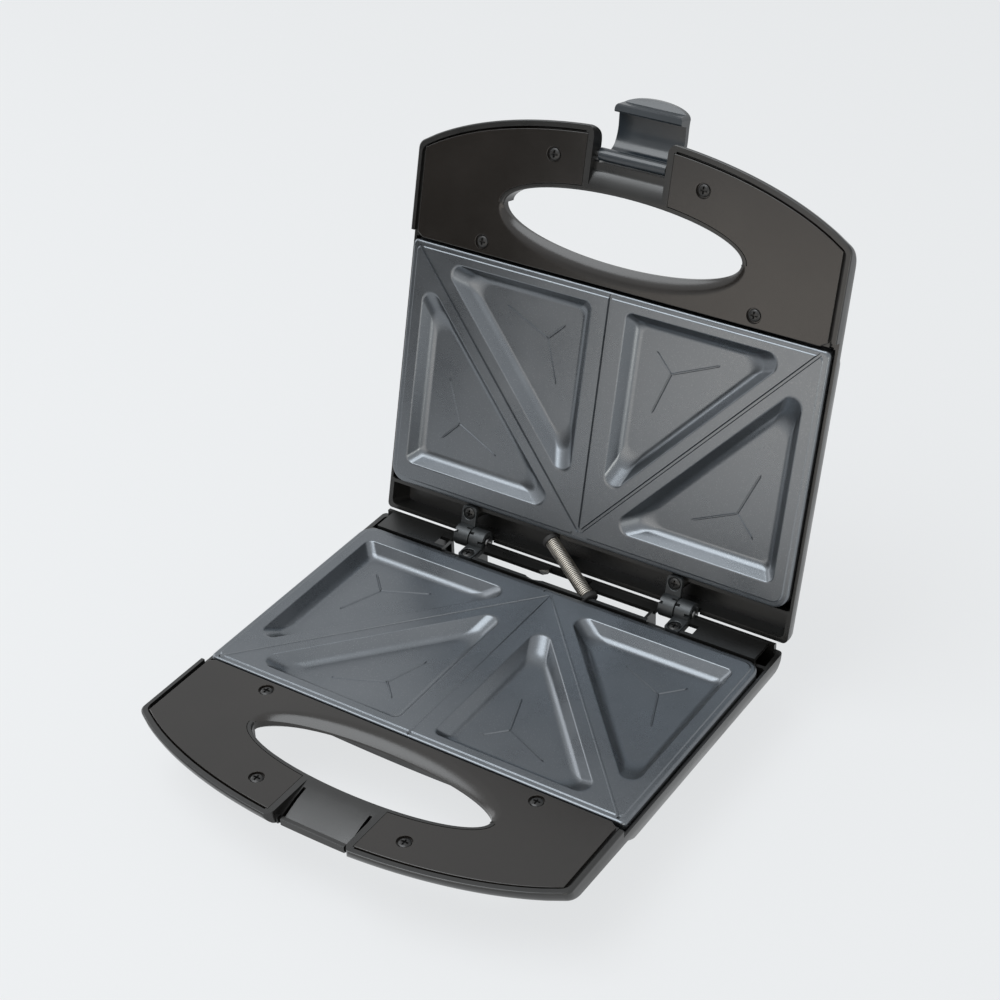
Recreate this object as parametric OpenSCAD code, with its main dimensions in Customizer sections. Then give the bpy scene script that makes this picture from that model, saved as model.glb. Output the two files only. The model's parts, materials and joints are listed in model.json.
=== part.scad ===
// Sandwich toaster: two mirrored halves on two rear hinges, with a snap latch at the front.
// Millimetres. Z is up, X runs along the hinge axis and the handles face -Y.
// Every half is drawn in its own closed frame: the origin is the middle of the hinge axis,
// Y is the same as above and Z is the depth into the half, from the plane where the halves meet.
// The base is that drawing turned upside down. The lid is that drawing, swung open.

/* [Body] */
// Width of both housings
body_w = 224; // [200:1:250]
// Depth of one half, from the meeting plane to its flat outside
body_depth = 33; // [30:0.5:42]
// How far the rear wall stands behind the hinge axis
rear_y = 1; // [0.5:0.1:2]
// Wall of the housings
wall = 2.2; // [1.8:0.1:2.6]
// Half of the gap between the closed rims
rim_gap = 0.4; // [0.3:0.05:0.8]
// Depth where the sides begin to round under
side_flat = 4; // [3:0.5:6]
// Rounding of the rear lower edge
rear_round = 16; // [12:1:18]
// Rounding of the front corners, seen from above
front_corner_r = 5; // [3:0.5:8]
// Rounding of the rear corners, seen from above
rear_corner_r = 9; // [6:0.5:12]
// Depth of the step that leaves the side and rear rims lower than the handle
rim_step = 3.9; // [3:0.1:4.5]

/* [Handle] */
// Width of the bridge between the plate chamber and the grip opening
grip_bridge = 10.8; // [10.2:0.1:14]
// Width of the handle in front of the grip opening, at its middle
handle_bar = 30.3; // [28:0.1:36]
// Half length of the ellipse that the front edge follows
front_a = 135; // [130:1:150]
// Half width of the ellipse that the front edge follows
front_b = 62; // [50:1:66]
// Depth of one handle half at its front
handle_nose = 8; // [7:0.5:9]
// Depth of one handle half behind the grip opening
handle_back_depth = 14; // [13:0.5:16]
// How far the root of the handle lies behind the middle of the grip opening
handle_root = 3; // [0:0.5:6]
// How far the flat outside begins behind the front edge of the plate
belly_in = 16; // [10:1:22]
// Half length of the grip opening
grip_a = 62; // [50:1:66]
// Half width of the grip opening
grip_b = 15.7; // [13:0.1:16]
// Wall of the collar round the grip opening
collar = 2.3; // [1.6:0.1:3]

/* [Handle cover] */
// Width of the rim that frames the cover
cover_rim = 4; // [3:0.1:5]
// Thickness of the cover
cover_t = 2.2; // [1.8:0.1:3]
// Ledge that the cover rests on
cover_ledge = 2; // [1.5:0.1:3]
// Gap between the cover and the front edge of the plate
cover_plate_gap = 1.5; // [1:0.1:2]
// Depth of the skirt at the back of the grip opening
cover_skirt = 7.6; // [5:0.2:8]
// Gap round the cover
cover_fit = 0.2; // [0.1:0.05:0.4]
// X of the two front cover screws
cover_front_x = 38.5; // [34:0.5:44]
// Distance of the front cover screws behind the front of the handle
cover_front_in = 18; // [16:0.5:20]
// X of the two rear cover screws
cover_rear_x = 71.6; // [68:0.5:85]
// Distance of the rear cover screws behind the front wall of the plate chamber
cover_rear_in = 5.5; // [5:0.5:9]

/* [Plate] */
// Width of the rim of a housing beside its plate
side_rim = 2; // [1.6:0.1:3]
// Depth of a plate, front to back
plate_d = 124.2; // [112:0.2:140]
// Rear edge of a plate, from the hinge axis
plate_rear = 15.8; // [15.4:0.1:16.4]
// Half of the gap between the closed plates
plate_gap = 0.5; // [0.45:0.05:0.9]
// Thickness of a plate
plate_t = 2.5; // [2:0.1:3]
// Height of the skirt round a plate
plate_skirt = 7.5; // [6:0.1:8]
// Gap round a plate
plate_fit = 0.6; // [0.4:0.05:0.8]
// Rounding of the rear corners of a plate
plate_corner_r = 8; // [5:0.5:10]
// Depth of the sandwich pockets
pocket_depth = 6.1; // [4.5:0.1:6.5]
// Width of the sloping pocket walls, seen from above
pocket_slope = 7.5; // [5:0.5:9]
// Rounding of the pocket tips
pocket_r = 5.4; // [3:0.2:6]
// Rim between the outer pockets and the side edges
pocket_side_rim = 8.5; // [7:0.5:12]
// Rim between the outer pockets and the rear edge
pocket_rear_rim = 11.2; // [9:0.2:14]
// Rim between the inner pockets and the front edge
pocket_front_rim = 7; // [5:0.5:10]
// Half width of the bar between the two inner pockets
pocket_mid = 9; // [7:0.5:11]
// Half width of the diagonal bars
pocket_diagonal = 6; // [5:0.5:8]
// Where the two diagonals meet, behind the rear edge of the plate
diagonal_in = 4.7; // [3:0.1:6]
// Width of the cutting ridges along the diagonals
ridge_w = 1.2; // [0.8:0.1:1.6]
// Height of the cutting ridges
ridge_h = 0.5; // [0.3:0.05:0.5]
// Gap beside a cutting ridge in its groove
ridge_fit = 0.2; // [0.1:0.05:0.4]

/* [Hinges] */
// How far the lid leans back when it is fully open, from closed
open_angle = 104.46; // [95:0.5:106]
// Distance of the middle of a hinge from the side of the body
hinge_in = 54.5; // [48:0.5:60]
// Width of one hinge knuckle
knuckle_w = 8.2; // [7:0.1:10]
// Gap between two knuckles
knuckle_gap = 0.4; // [0.3:0.05:0.6]
// Radius of a knuckle
knuckle_r = 5.5; // [4:0.1:5.8]
// Radius of a hinge pin
hinge_pin_r = 1.5; // [1.2:0.1:2]
// Running gap round the hinge pin and the latch pin
pin_fit = 0.05; // [0.02:0.01:0.1]
// Thickness of a hinge tab
tab_t = 2; // [1.5:0.1:2.4]
// Distance of the tab screws from the hinge axis
tab_screw_y = 11.2; // [10.8:0.1:11.4]
// Gap between a hinge knuckle and the housings
knuckle_clear = 0.7; // [0.5:0.05:1]

/* [Rear trough] */
// Depth of the trough behind a plate
trough_depth = 15; // [13:0.5:17]
// Thickness of the bulkheads
bulkhead_t = 1.8; // [1.4:0.1:2]
// Rear edge of the ledge over the base trough, from the hinge axis
ledge_rear = 4.6; // [4.2:0.1:5]
// Thickness of that ledge
ledge_t = 2; // [1.5:0.1:2.4]
// How far the open window in the rear wall of the base reaches past the middle of a hinge
window_past = 12.5; // [11:0.5:18]
// How far the middle slot in the ledge ends before the middle of a hinge
slot_short = 11; // [10.5:0.5:17]
// Width of the slots in the ledge
slot_w = 6.5; // [5:0.1:6.8]

/* [Latch] */
// Width of the latch
latch_w = 34.5; // [28:0.5:36]
// Thickness of the latch
latch_t = 3; // [2.4:0.1:3.2]
// Gap beside the latch in its notch
latch_side_gap = 1.75; // [1:0.05:2]
// Distance of the latch pin behind the front of the handle
latch_in = 14; // [14:0.5:16]
// Depth of the latch pin in the lid
latch_z = 6; // [5.8:0.1:6.2]
// Radius of the latch pin
latch_pin_r = 1.5; // [1.2:0.1:1.6]
// Height of the catch that the latch hooks under
catch_h = 6; // [5:0.2:6.5]
// Half width of the catch
catch_x = 13; // [10:0.5:15]
// Depth of the rounded end of the thumb tab
tab_arc = 8.8; // [4:0.2:8.8]

/* [Heaters] */
// Radius of a heating element
element_r = 3.3; // [3:0.1:3.6]
// Distance between the two runs of an element
element_span = 66; // [60:1:72]
// Thickness of a heat reflector
reflector_t = 0.8; // [0.6:0.1:1.2]
// Gap between an element and its neighbours
element_fit = 0.2; // [0.1:0.05:0.4]
// How far a heat reflector stands in from the side edges of the plate
reflector_side = 14; // [14:0.5:24]
// How far it stands in from the front edge of the plate
reflector_front = 12; // [10:0.5:20]
// How far it stands in from the rear edge of the plate
reflector_rear = 10; // [8:0.5:18]
// Radius of the thermostat
thermostat_r = 7; // [5:0.5:8]
// Height of the thermostat
thermostat_h = 5; // [4:0.5:5.5]
// Length of the thermal fuse
fuse_l = 18; // [12:1:22]
// Radius of the thermal fuse
fuse_r = 2; // [1.5:0.1:2]
// Length of the terminal block
block_l = 36; // [24:1:44]
// Width of the terminal block
block_w = 10; // [8:0.5:12]
// Height of the terminal block
block_h = 6; // [5:0.5:6.5]

/* [Spring conduit] */
// Outer diameter of the spring conduit
conduit_d = 6.5; // [6:0.1:6.8]
// Diameter of its wire
wire_d = 0.9; // [0.7:0.05:1]
// Pitch of its curls
wire_pitch = 1.35; // [1.35:0.05:2]
// X of its seat in the base, and of its seat in the lid on the other side
conduit_x = 16.5; // [14:0.5:20]
// Distance of its seats from the hinge axis
conduit_y = 11.5; // [11.2:0.1:11.6]
// Depth of its seats
conduit_z = 3.2; // [2.8:0.1:3.6]
// Length of the bushes at its ends
bush_length = 4.8; // [4:0.2:6]
// Wall and floor of the bushes
bush_t = 0.8; // [0.6:0.1:0.9]
// Gap between the conduit and its bushes
conduit_fit = 0.25; // [0.2:0.05:0.35]

/* [Screws and feet] */
// Radius of the screw shanks
screw_r = 1.5; // [1.2:0.05:1.6]
// Radius of the screw heads
screw_head_r = 3; // [2.6:0.1:3.2]
// Height of the screw heads
screw_head_h = 1.2; // [1:0.1:1.4]
// Gap round a screw shank
screw_fit = 0.05; // [0.02:0.01:0.1]
// Height of the feet
foot_h = 5; // [4:0.5:10]
// Radius of the feet
foot_r = 8; // [6:0.5:9]
// Distance of the feet from the sides of the body
foot_side = 40; // [36:1:48]
// Distance of the rear feet from the hinge axis
foot_rear_y = 23.2; // [23:0.1:28]
// Distance of the front feet behind the front edge of the plate
foot_front = 26; // [25:0.5:36]
// Radius of the indicator lamps
lamp_r = 4; // [3:0.2:5]
// Distance between the two lamps
lamp_span = 22; // [16:1:30]
// Distance of the lamps behind the front edge of the plate
lamp_in = 24; // [22:1:34]
// How far the strip behind the lamps reaches past them
holder_past = 8; // [7:0.5:10]
// Radius of the flange of the cord gland
gland_r = 5.4; // [4.8:0.2:5.8]
// Radius of the hole for a supply cord in the gland
gland_hole_r = 3.1; // [2.4:0.1:3.4]
// Distance of the cord gland from the side of the body
gland_side = 24; // [20:0.5:26]
// Depth of the cord gland
gland_z = 11.5; // [11:0.5:14]

/* [Hidden] */
$fn = 48;
eps = 0.01;

function unit(v) = v / norm(v);

// Where a point of the open lid stands, from the middle of the hinge axis.
function lid_point(p) =
    [p.x, p.y * cos(open_angle) + p.z * sin(open_angle),
        -p.y * sin(open_angle) + p.z * cos(open_angle)];

half_w = body_w / 2;
plate_x = half_w - side_rim;
plate_front = plate_rear + plate_d;
chamber_front = plate_front + cover_plate_gap;
grip_y = chamber_front + grip_bridge + grip_b;
handle_front = grip_y + grip_b + handle_bar;
handle_back = grip_y - handle_root;
belly_front = plate_front - belly_in;
latch_y = handle_front - latch_in;

// Where the hinge axis stands in the shared frame. The open toaster stands on its feet, and
// its front and the tip of its flipped latch are equally far from the origin.
hinge_z = body_depth + foot_h;
hinge_y = (handle_front - lid_point([0, -latch_y - 28.5, latch_z + 18]).y) / 2;

side_round = body_depth - side_flat;
front_straight = belly_front - 24;
cover_a = front_a - cover_rim;
cover_b = front_b - cover_rim;
cover_x = half_w - cover_rim;
cover_top = rim_gap;
cover_bottom = cover_top + cover_t;
front_mid_y = -(handle_front - front_b);
plate_seat = plate_gap + plate_skirt + 0.1;
cover_front_y = handle_front - cover_front_in;
cover_rear_y = chamber_front + cover_rear_in;
step_y = chamber_front + 2.5;
side_rim_z = rim_gap + rim_step;
skirt_seat = cover_top + cover_skirt + 0.2;
notch_x = latch_w / 2 + latch_side_gap;
notch_wall_x = notch_x + 3;
notch_back = latch_y - 3.5;
tab_z = 0.6;
boss_z = tab_z + tab_t;
hinge_x = half_w - hinge_in;
window_x = hinge_x + window_past;
slot_x = hinge_x - slot_short;
tab_head_r = screw_head_r + 0.8;
partition_y = plate_rear - 1;
trough_front = partition_y - bulkhead_t;
pocket_floor = plate_gap + pocket_depth;
plate_under = plate_gap + plate_t;
pocket_under = pocket_floor + plate_t;
element_z = pocket_under + element_r + element_fit;
reflector_z = element_z + element_r + element_fit;
post_z = reflector_z + reflector_t;
plate_mid_y = -(plate_rear + plate_d / 2);
catch_front = latch_y + 8.6;
catch_back = catch_front - 3;
catch_top = 10 - catch_h;
conduit_r = conduit_d / 2;
bush_r = conduit_r + conduit_fit + bush_t;
base_seat = [conduit_x, -conduit_y, conduit_z];
lid_seat = [-conduit_x, -conduit_y, conduit_z];
conduit_run = lid_point(lid_seat) - [base_seat.x, base_seat.y, -base_seat.z];
base_seat_dir = [conduit_run.x, conduit_run.y, -conduit_run.z];
lid_seat_dir = -[conduit_run.x,
    conduit_run.y * cos(open_angle) - conduit_run.z * sin(open_angle),
    conduit_run.y * sin(open_angle) + conduit_run.z * cos(open_angle)];

// Small helpers for outlines, lofts and boxes.

function fillet(a, v, b, r, n = 4) =
    let (
        u = unit(a - v),
        w = unit(b - v),
        half = acos(u * w) / 2,
        c = v + unit(u + w) * r / sin(half),
        p = v + u * r / tan(half) - c,
        q = v + w * r / tan(half) - c,
        start = atan2(p.y, p.x),
        sweep = (atan2(q.y, q.x) - start + 540) % 360 - 180
    )
    [for (k = [0:n]) c + r * [cos(start + sweep * k / n), sin(start + sweep * k / n)]];

function rounded(pts, radii, n = 4) =
    let (m = len(pts))
    [for (i = [0:m - 1]) each fillet(pts[(i + m - 1) % m], pts[i], pts[(i + 1) % m], radii[i], n)];

function ellipse_pts(a, b, from = 0, to = 360, n = 48) =
    [for (k = [0:n - (to - from == 360 ? 1 : 0)])
        let (t = from + (to - from) * k / n) [a * cos(t), b * sin(t)]];

function at_z(pts, z) = [for (p = pts) [p.x, p.y, z]];

module loft(rings) {
    n = len(rings[0]);
    m = len(rings);
    points = [for (r = rings) each r];
    sides = [for (j = [0:m - 2], k = [0:n - 1])
        let (a = j * n + k, b = j * n + (k + 1) % n)
        each [[a, a + n, b + n], [a, b + n, b]]];
    first = [for (k = [0:n - 1]) k];
    last = [for (k = [n - 1:-1:0]) (m - 1) * n + k];
    polyhedron(points, concat(sides, [first, last]));
}

module box(lo, hi) {
    translate(lo) cube(hi - lo);
}

module prism(z0, z1) {
    translate([0, 0, z0]) linear_extrude(z1 - z0) children();
}

// A profile of [y, z] points, drawn out along X from x0 to x1.
module x_prism(x0, x1, pts) {
    translate([x0, 0, 0]) rotate([90, 0, 90]) linear_extrude(x1 - x0) polygon(pts);
}

module x_cylinder(x0, x1, r) {
    translate([x0, 0, 0]) rotate([0, 90, 0]) cylinder(h = x1 - x0, r = r);
}

module both_sides() {
    children();
    mirror([1, 0, 0]) children();
}

module base_half() {
    translate([0, hinge_y, hinge_z]) mirror([0, 0, 1]) children();
}

module lid_half() {
    translate([0, hinge_y, hinge_z]) rotate([-open_angle, 0, 0]) children();
}

// Outside form of a half. A level is a depth; its outline depends on how far the handle
// reaches forward there and how far the sides and the rear have rounded under.
reach_table = [
    [rim_gap, handle_front],
    [rim_gap + handle_nose * 0.4, handle_front - 0.8],
    [rim_gap + handle_nose * 0.7, handle_front - 2.6],
    [rim_gap + handle_nose * 0.9, handle_front - 5.2],
    [rim_gap + handle_nose, handle_front - 9],
    [handle_back_depth, handle_back],
    [body_depth - 2, belly_front + 5],
    [body_depth, belly_front]
];
levels = concat(
    [for (k = [0:4]) reach_table[k][0]],
    [11, handle_back_depth],
    [for (t = [20, 38, 56, 74, 90])
        handle_back_depth + (body_depth - handle_back_depth) * sin(t)]
);

function round_under(z, flat, r) =
    z <= flat ? 0 : r - sqrt(max(0, r * r - (z - flat) * (z - flat)));

function front_y(x, reach, inset) =
    let (
        b = front_b * (reach - front_straight) / (handle_front - front_straight),
        a = front_a - inset
    )
    -(reach - b) - b * sqrt(1 - x * x / (a * a));

function outline(reach, side, rear) =
    let (
        x = half_w - side,
        y1 = rear_y - rear,
        bend = x - front_corner_r - 4,
        corner = front_y(x, reach, side),
        ends = front_y(bend, reach, side)
    )
    concat(
        [for (k = [0:18]) let (t = bend * (k / 9 - 1)) [t, front_y(t, reach, side)]],
        fillet([bend, ends], [x, corner], [x, y1], front_corner_r),
        fillet([x, corner], [x, y1], [-x, y1], rear_corner_r),
        fillet([x, y1], [-x, y1], [-x, corner], rear_corner_r),
        fillet([-x, y1], [-x, corner], [-bend, ends], front_corner_r)
    );

function outline_at(z, inset = 0) =
    outline(
        lookup(z, reach_table) - inset,
        round_under(z, side_flat, side_round) + inset,
        round_under(z, body_depth - rear_round, rear_round) + inset
    );

module outer_form() {
    loft([for (z = levels) at_z(outline_at(z), z)]);
}

// The hollow of a half: the outside form moved in by one wall.
module inner_form() {
    loft(concat(
        [at_z(outline_at(0, wall), -1)],
        [for (z = levels) if (z > 5) at_z(outline_at(z, wall), z - wall)]
    ));
}

module grip_outline(grow = 0) {
    translate([0, -grip_y]) polygon(ellipse_pts(grip_a + grow, grip_b + grow));
}

// The half of the grip opening nearer the plate, reaching forward of its middle by more.
module rear_half_of_grip(grow, more) {
    intersection() {
        grip_outline(grow);
        translate([-half_w, -grip_y - more]) square([body_w, grip_b + grow + more]);
    }
}

// Outline of the handle cover, wider by grow on every side.
module cover_outline(grow = 0) {
    x = cover_x + grow;
    back = -chamber_front + grow;
    front = [for (k = [0:24])
        let (t = x * (k / 12 - 1))
        [t, front_mid_y - (cover_b + grow) * sqrt(1 - t * t / ((cover_a + grow) * (cover_a + grow)))]];
    difference() {
        polygon(concat(front, [[x, back - 2.1], [x - 3, back], [3 - x, back], [-x, back - 2.1]]));
        grip_outline();
        intersection() {
            grip_outline(collar + cover_fit - grow);
            translate([-half_w, -handle_front]) square([body_w, handle_front - grip_y - grow]);
        }
        translate([-notch_wall_x - cover_fit + grow, -handle_front - 5])
            square([2 * (notch_wall_x + cover_fit - grow), handle_front + 5 - grip_y]);
    }
}

// The handle hollow keeps a rim for the cover to rest on.
module cover_ledge_keep() {
    prism(cover_bottom, cover_bottom + 3) difference() {
        translate([-half_w, -handle_front]) square([body_w, handle_front - chamber_front]);
        polygon([for (p = outline_at(0, cover_rim + cover_ledge)) p]);
    }
}

cover_screw_spots = [
    [-cover_front_x, -cover_front_y],
    [cover_front_x, -cover_front_y],
    [-cover_rear_x, -cover_rear_y],
    [cover_rear_x, -cover_rear_y]
];
hinge_spots = [-hinge_x, hinge_x];
tab_offset = (knuckle_w + knuckle_gap) / 2;
foot_x = half_w - foot_side;
foot_front_y = plate_front - foot_front;
foot_spots = [[-foot_x, -foot_front_y], [foot_x, -foot_front_y],
    [-foot_x, -foot_rear_y], [foot_x, -foot_rear_y]];
gland_spot = [half_w - gland_side, rear_y, gland_z];
lamp_spots = [for (s = [-1, 1]) [s * lamp_span / 2, lamp_in - plate_front]];

// The two diagonals of a plate, from behind its rear edge nearly to its front corners.
diagonal_start = [0, -(plate_rear + diagonal_in)];
diagonal_reach = [plate_x - 3.7, -(plate_d - diagonal_in - 1.3)];
diagonal_dir = unit(diagonal_reach);
diagonal_normal = [-diagonal_dir.y, diagonal_dir.x];

function on_diagonal_x(x, shift) =
    let (p = diagonal_start + shift * diagonal_normal)
    [x, p.y + diagonal_dir.y * (x - p.x) / diagonal_dir.x];

function on_diagonal_y(y, shift) =
    let (p = diagonal_start + shift * diagonal_normal)
    [p.x + diagonal_dir.x * (y - p.y) / diagonal_dir.y, y];

// The plate screws stand under the diagonal bars, just outside their middle lines.
plate_screw_y = plate_mid_y;
plate_screw_x = on_diagonal_y(plate_screw_y, 0).x + 1.38;

// What stays standing inside the hollow of a half. tab_side is the side of each hinge
// that this half's tab is on.
module kept_inside(tab_side) {
    box([-half_w, -chamber_front - bulkhead_t, cover_bottom], [half_w, -chamber_front, body_depth]);
    box([-half_w, -partition_y, side_rim_z], [half_w, -trough_front, trough_depth + 2]);
    box([-half_w, -partition_y, trough_depth], [half_w, rear_y, trough_depth + 2]);
    prism(0, body_depth) grip_outline(collar + 1);
    box([-notch_wall_x - 1, -handle_front, 0],
        [notch_wall_x + 1, -grip_y - grip_b, handle_back_depth]);
    cover_ledge_keep();
    for (spot = cover_screw_spots)
        translate([spot.x, spot.y, cover_bottom]) cylinder(h = body_depth, r = 4.2);
    for (x = [-plate_screw_x, plate_screw_x])
        translate([x, plate_screw_y, post_z]) cylinder(h = body_depth, r = 5.5);
    for (x = hinge_spots)
        translate([x + tab_side * tab_offset, -tab_screw_y, boss_z])
            cylinder(h = trough_depth, r = tab_head_r);
}

module half_shell(tab_side, seat, seat_dir) {
    difference() {
        outer_form();
        difference() {
            inner_form();
            kept_inside(tab_side);
        }
        prism(-1, body_depth + 1) grip_outline();
        prism(-1, cover_bottom) cover_outline(cover_fit);
        prism(-1, skirt_seat) rear_half_of_grip(collar + cover_fit, cover_fit);
        box([-plate_x - plate_fit, -plate_front - plate_fit, -1],
            [plate_x + plate_fit, -plate_rear + plate_fit, plate_seat]);
        both_sides() box([cover_x + cover_fit, -step_y, -1], [half_w + 1, 5, side_rim_z]);
        box([-half_w, -plate_rear, -1], [half_w, 5, boss_z]);
        for (x = [-plate_screw_x, plate_screw_x])
            translate([x, plate_screw_y, 0]) {
                cylinder(h = body_depth, r = screw_r + screw_fit);
                translate([0, 0, body_depth - 5]) cylinder(h = 6, r = screw_head_r + 0.5);
            }
        for (spot = cover_screw_spots)
            translate([spot.x, spot.y, 0]) cylinder(h = cover_bottom + 6.5, r = screw_r + screw_fit);
        for (x = hinge_spots) {
            translate([x + tab_side * tab_offset, -tab_screw_y, 0])
                cylinder(h = trough_depth - 3, r = screw_r + screw_fit);
            x_cylinder(x - knuckle_w - 1, x + knuckle_w + 1, knuckle_r + knuckle_clear);
        }
        bush_hole(seat, seat_dir);
        children();
    }
}

// Between the step and the tabs, the rear and side rims of both halves end lower.
module rear_rims() {
    difference() {
        box([-half_w, -plate_rear, -1], [half_w, 5, side_rim_z]);
        for (x = hinge_spots)
            for (s = [-1, 1])
                translate([x + s * tab_offset, -tab_screw_y, -2])
                    cylinder(h = side_rim_z + 3, r = tab_head_r);
    }
}

module base_housing() color("dimgray") {
    base_half() {
        half_shell(1, base_seat, base_seat_dir) {
            rear_rims();
            base_notch();
            box([-window_x, -ledge_rear, side_rim_z], [window_x, rear_y + 1, trough_depth]);
            translate([gland_spot.x, 0, gland_spot.z]) rotate([90, 0, 0])
                cylinder(h = 8, r = gland_hole_r + 1.1, center = true);
        }
        base_ledge();
    }
}

// The ledge over the trough of the base, with its slots, ribs and end walls.
module base_ledge() {
    difference() {
        union() {
            box([-half_w + 7, -partition_y, tab_z], [half_w - 7, -ledge_rear, tab_z + ledge_t]);
            box([-half_w + 7, -partition_y, tab_z], [half_w - 7, -trough_front, trough_depth + 1]);
            both_sides() {
                box([slot_x, -partition_y, tab_z], [slot_x + 1.5, -ledge_rear, trough_depth + 1]);
                box([window_x + 2, -partition_y, tab_z], [window_x + 4, -1, trough_depth + 1]);
            }
        }
        translate([0, -trough_front + 0.2, 0]) {
            box([-slot_x, 0, 0], [slot_x, slot_w, tab_z + ledge_t + 1]);
            both_sides() {
                box([slot_x + 1.5, 0, 0], [slot_x + 3.5, slot_w, tab_z + ledge_t + 1]);
                box([hinge_x + knuckle_w + 1, 0, 0],
                    [window_x + 2, slot_w, tab_z + ledge_t + 1]);
            }
        }
        both_sides() box([window_x + 1, -ledge_rear - 1, -1], [window_x + 5, 0, side_rim_z]);
        box([5 - conduit_x, -ledge_rear - 3, -1], [conduit_x - 5, 0, tab_z + ledge_t + 1]);
        for (x = hinge_spots) {
            x_cylinder(x - knuckle_w - 0.6, x + knuckle_w + 0.6, knuckle_r + knuckle_clear);
            box([x - knuckle_w - 0.6, -partition_y - 1, -1], [x + knuckle_w + 0.6, 0, boss_z]);
            translate([x + tab_offset, -tab_screw_y, 0])
                cylinder(h = trough_depth - 3, r = screw_r + screw_fit);
        }
        bush_hole(base_seat, base_seat_dir);
        mirror([0, 0, 1]) along(lid_seat, lid_seat_dir)
            translate([0, 0, -1]) cylinder(h = 14, r = bush_r + 0.5);
    }
}

// The front notch of the base: a ramp down to the catch, open beside it and in front.
module base_notch() {
    box([-notch_x, -handle_front - 1, -1], [notch_x, -catch_front, body_depth]);
    x_prism(-notch_x, notch_x, [
        [-grip_y - grip_b - collar, -1], [-grip_y - grip_b - collar, rim_gap],
        [-catch_back, catch_top + 2], [-catch_back, catch_top],
        [-catch_front - 1, catch_top], [-catch_front - 1, -1]
    ]);
    both_sides()
        box([catch_x, -catch_front - 1, -1], [notch_x - 1, -grip_y - grip_b - collar - 4, 8]);
}

module base_handle_cover() color("dimgray") base_half() handle_cover();
module lid_handle_cover() color("dimgray") lid_half() handle_cover();

module handle_cover() {
    difference() {
        union() {
            prism(cover_top, cover_bottom) cover_outline();
            prism(cover_top, cover_top + cover_skirt) difference() {
                rear_half_of_grip(collar, 0);
                grip_outline();
            }
        }
        for (spot = cover_screw_spots)
            translate([spot.x, spot.y, 0]) {
                cylinder(h = cover_bottom + 1, r = screw_r + 0.2);
                cylinder(h = cover_top + screw_head_h, r = screw_head_r + 0.5);
            }
    }
}

// Plates. A pocket is a triangle with rounded tips that narrows toward its floor.
function outer_pocket(inset) =
    let (
        x = plate_x - pocket_side_rim - inset,
        y = -(plate_rear + pocket_rear_rim) - inset,
        shift = pocket_diagonal + inset
    )
    rounded([[x, y], on_diagonal_y(y, shift), on_diagonal_x(x, shift)],
        [pocket_r - 2, pocket_r, pocket_r]);

function inner_pocket(inset) =
    let (
        x = pocket_mid + inset,
        y = -(plate_front - pocket_front_rim) + inset,
        shift = -pocket_diagonal - inset
    )
    rounded([[x, y], on_diagonal_y(y, shift), on_diagonal_x(x, shift)],
        [pocket_r - 2, pocket_r, pocket_r]);

module pocket_cuts() {
    both_sides() {
        loft([at_z(outer_pocket(-0.4), plate_gap - 1), at_z(outer_pocket(0.4), plate_gap + 0.4),
            at_z(outer_pocket(pocket_slope - 2), pocket_floor - 0.9),
            at_z(outer_pocket(pocket_slope), pocket_floor)]);
        loft([at_z(inner_pocket(-0.4), plate_gap - 1), at_z(inner_pocket(0.4), plate_gap + 0.4),
            at_z(inner_pocket(pocket_slope - 2), pocket_floor - 0.9),
            at_z(inner_pocket(pocket_slope), pocket_floor)]);
    }
}

module pocket_backs() {
    both_sides() {
        loft([at_z(outer_pocket(-2), plate_gap + 1), at_z(outer_pocket(pocket_slope - 2), pocket_under)]);
        loft([at_z(inner_pocket(-2), plate_gap + 1), at_z(inner_pocket(pocket_slope - 2), pocket_under)]);
    }
}

function plate_outline(inset = 0) =
    let (x = plate_x - inset, back = -plate_rear - inset, front = -plate_front + inset)
    rounded([[x, back], [-x, back], [-x, front], [x, front]],
        [plate_corner_r - inset, plate_corner_r - inset, 2.6, 2.6]);

module bar(from, to, w, z0, z1) {
    d = to - from;
    translate([from.x, from.y, z0]) rotate(atan2(d.y, d.x))
        translate([0, -w / 2, 0]) cube([norm(d), w, z1 - z0]);
}

// The three-armed crease on a pocket floor, from its middle toward the three tips.
module crease(middle, arms) {
    for (end = arms)
        bar(middle, end, 1, pocket_floor - 0.5, pocket_floor + 0.2);
}

module pocket_creases() {
    o = [plate_x - 33.5, -(plate_rear + 36.7)];
    i = [33.2, -(plate_front - 32)];
    both_sides() {
        crease(o, [o + [9.5, 10], o + [-22.5, 10.2], o + [8.5, -21.5]]);
        crease(i, [i + [23.8, -10.4], i + [-8.7, -8.8], i + [-7.2, 21]]);
    }
}

module cutting_lines(w, z0, z1) {
    both_sides() bar(diagonal_start, diagonal_start + diagonal_reach - 2 * diagonal_dir, w, z0, z1);
    bar(diagonal_start, [0, -plate_front + 1], w, z0, z1);
}

module plate() {
    difference() {
        union() {
            prism(plate_gap, plate_under) polygon(plate_outline());
            prism(plate_gap, plate_gap + plate_skirt) difference() {
                polygon(plate_outline());
                polygon(plate_outline(2.4));
            }
            pocket_backs();
            for (x = [-plate_screw_x, plate_screw_x])
                translate([x, plate_screw_y, plate_gap + 1])
                    cylinder(h = reflector_z - plate_gap - 1, r = 4.2);
        }
        difference() {
            pocket_cuts();
            pocket_creases();
        }
        for (x = [-plate_screw_x, plate_screw_x])
            translate([x, plate_screw_y, plate_under + 1])
                cylinder(h = reflector_z, r = screw_r + screw_fit);
        box([-4.5, -plate_rear - 4.8, plate_gap - 1], [4.5, -plate_rear - 1.2, plate_gap + 0.8]);
    }
}

module base_plate() color("slategray") base_half() {
    plate();
    difference() {
        cutting_lines(ridge_w, plate_gap - ridge_h, plate_gap + 0.5);
        box([-5, -plate_rear - 5, -1], [5, -plate_rear, 2]);
    }
}

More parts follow.
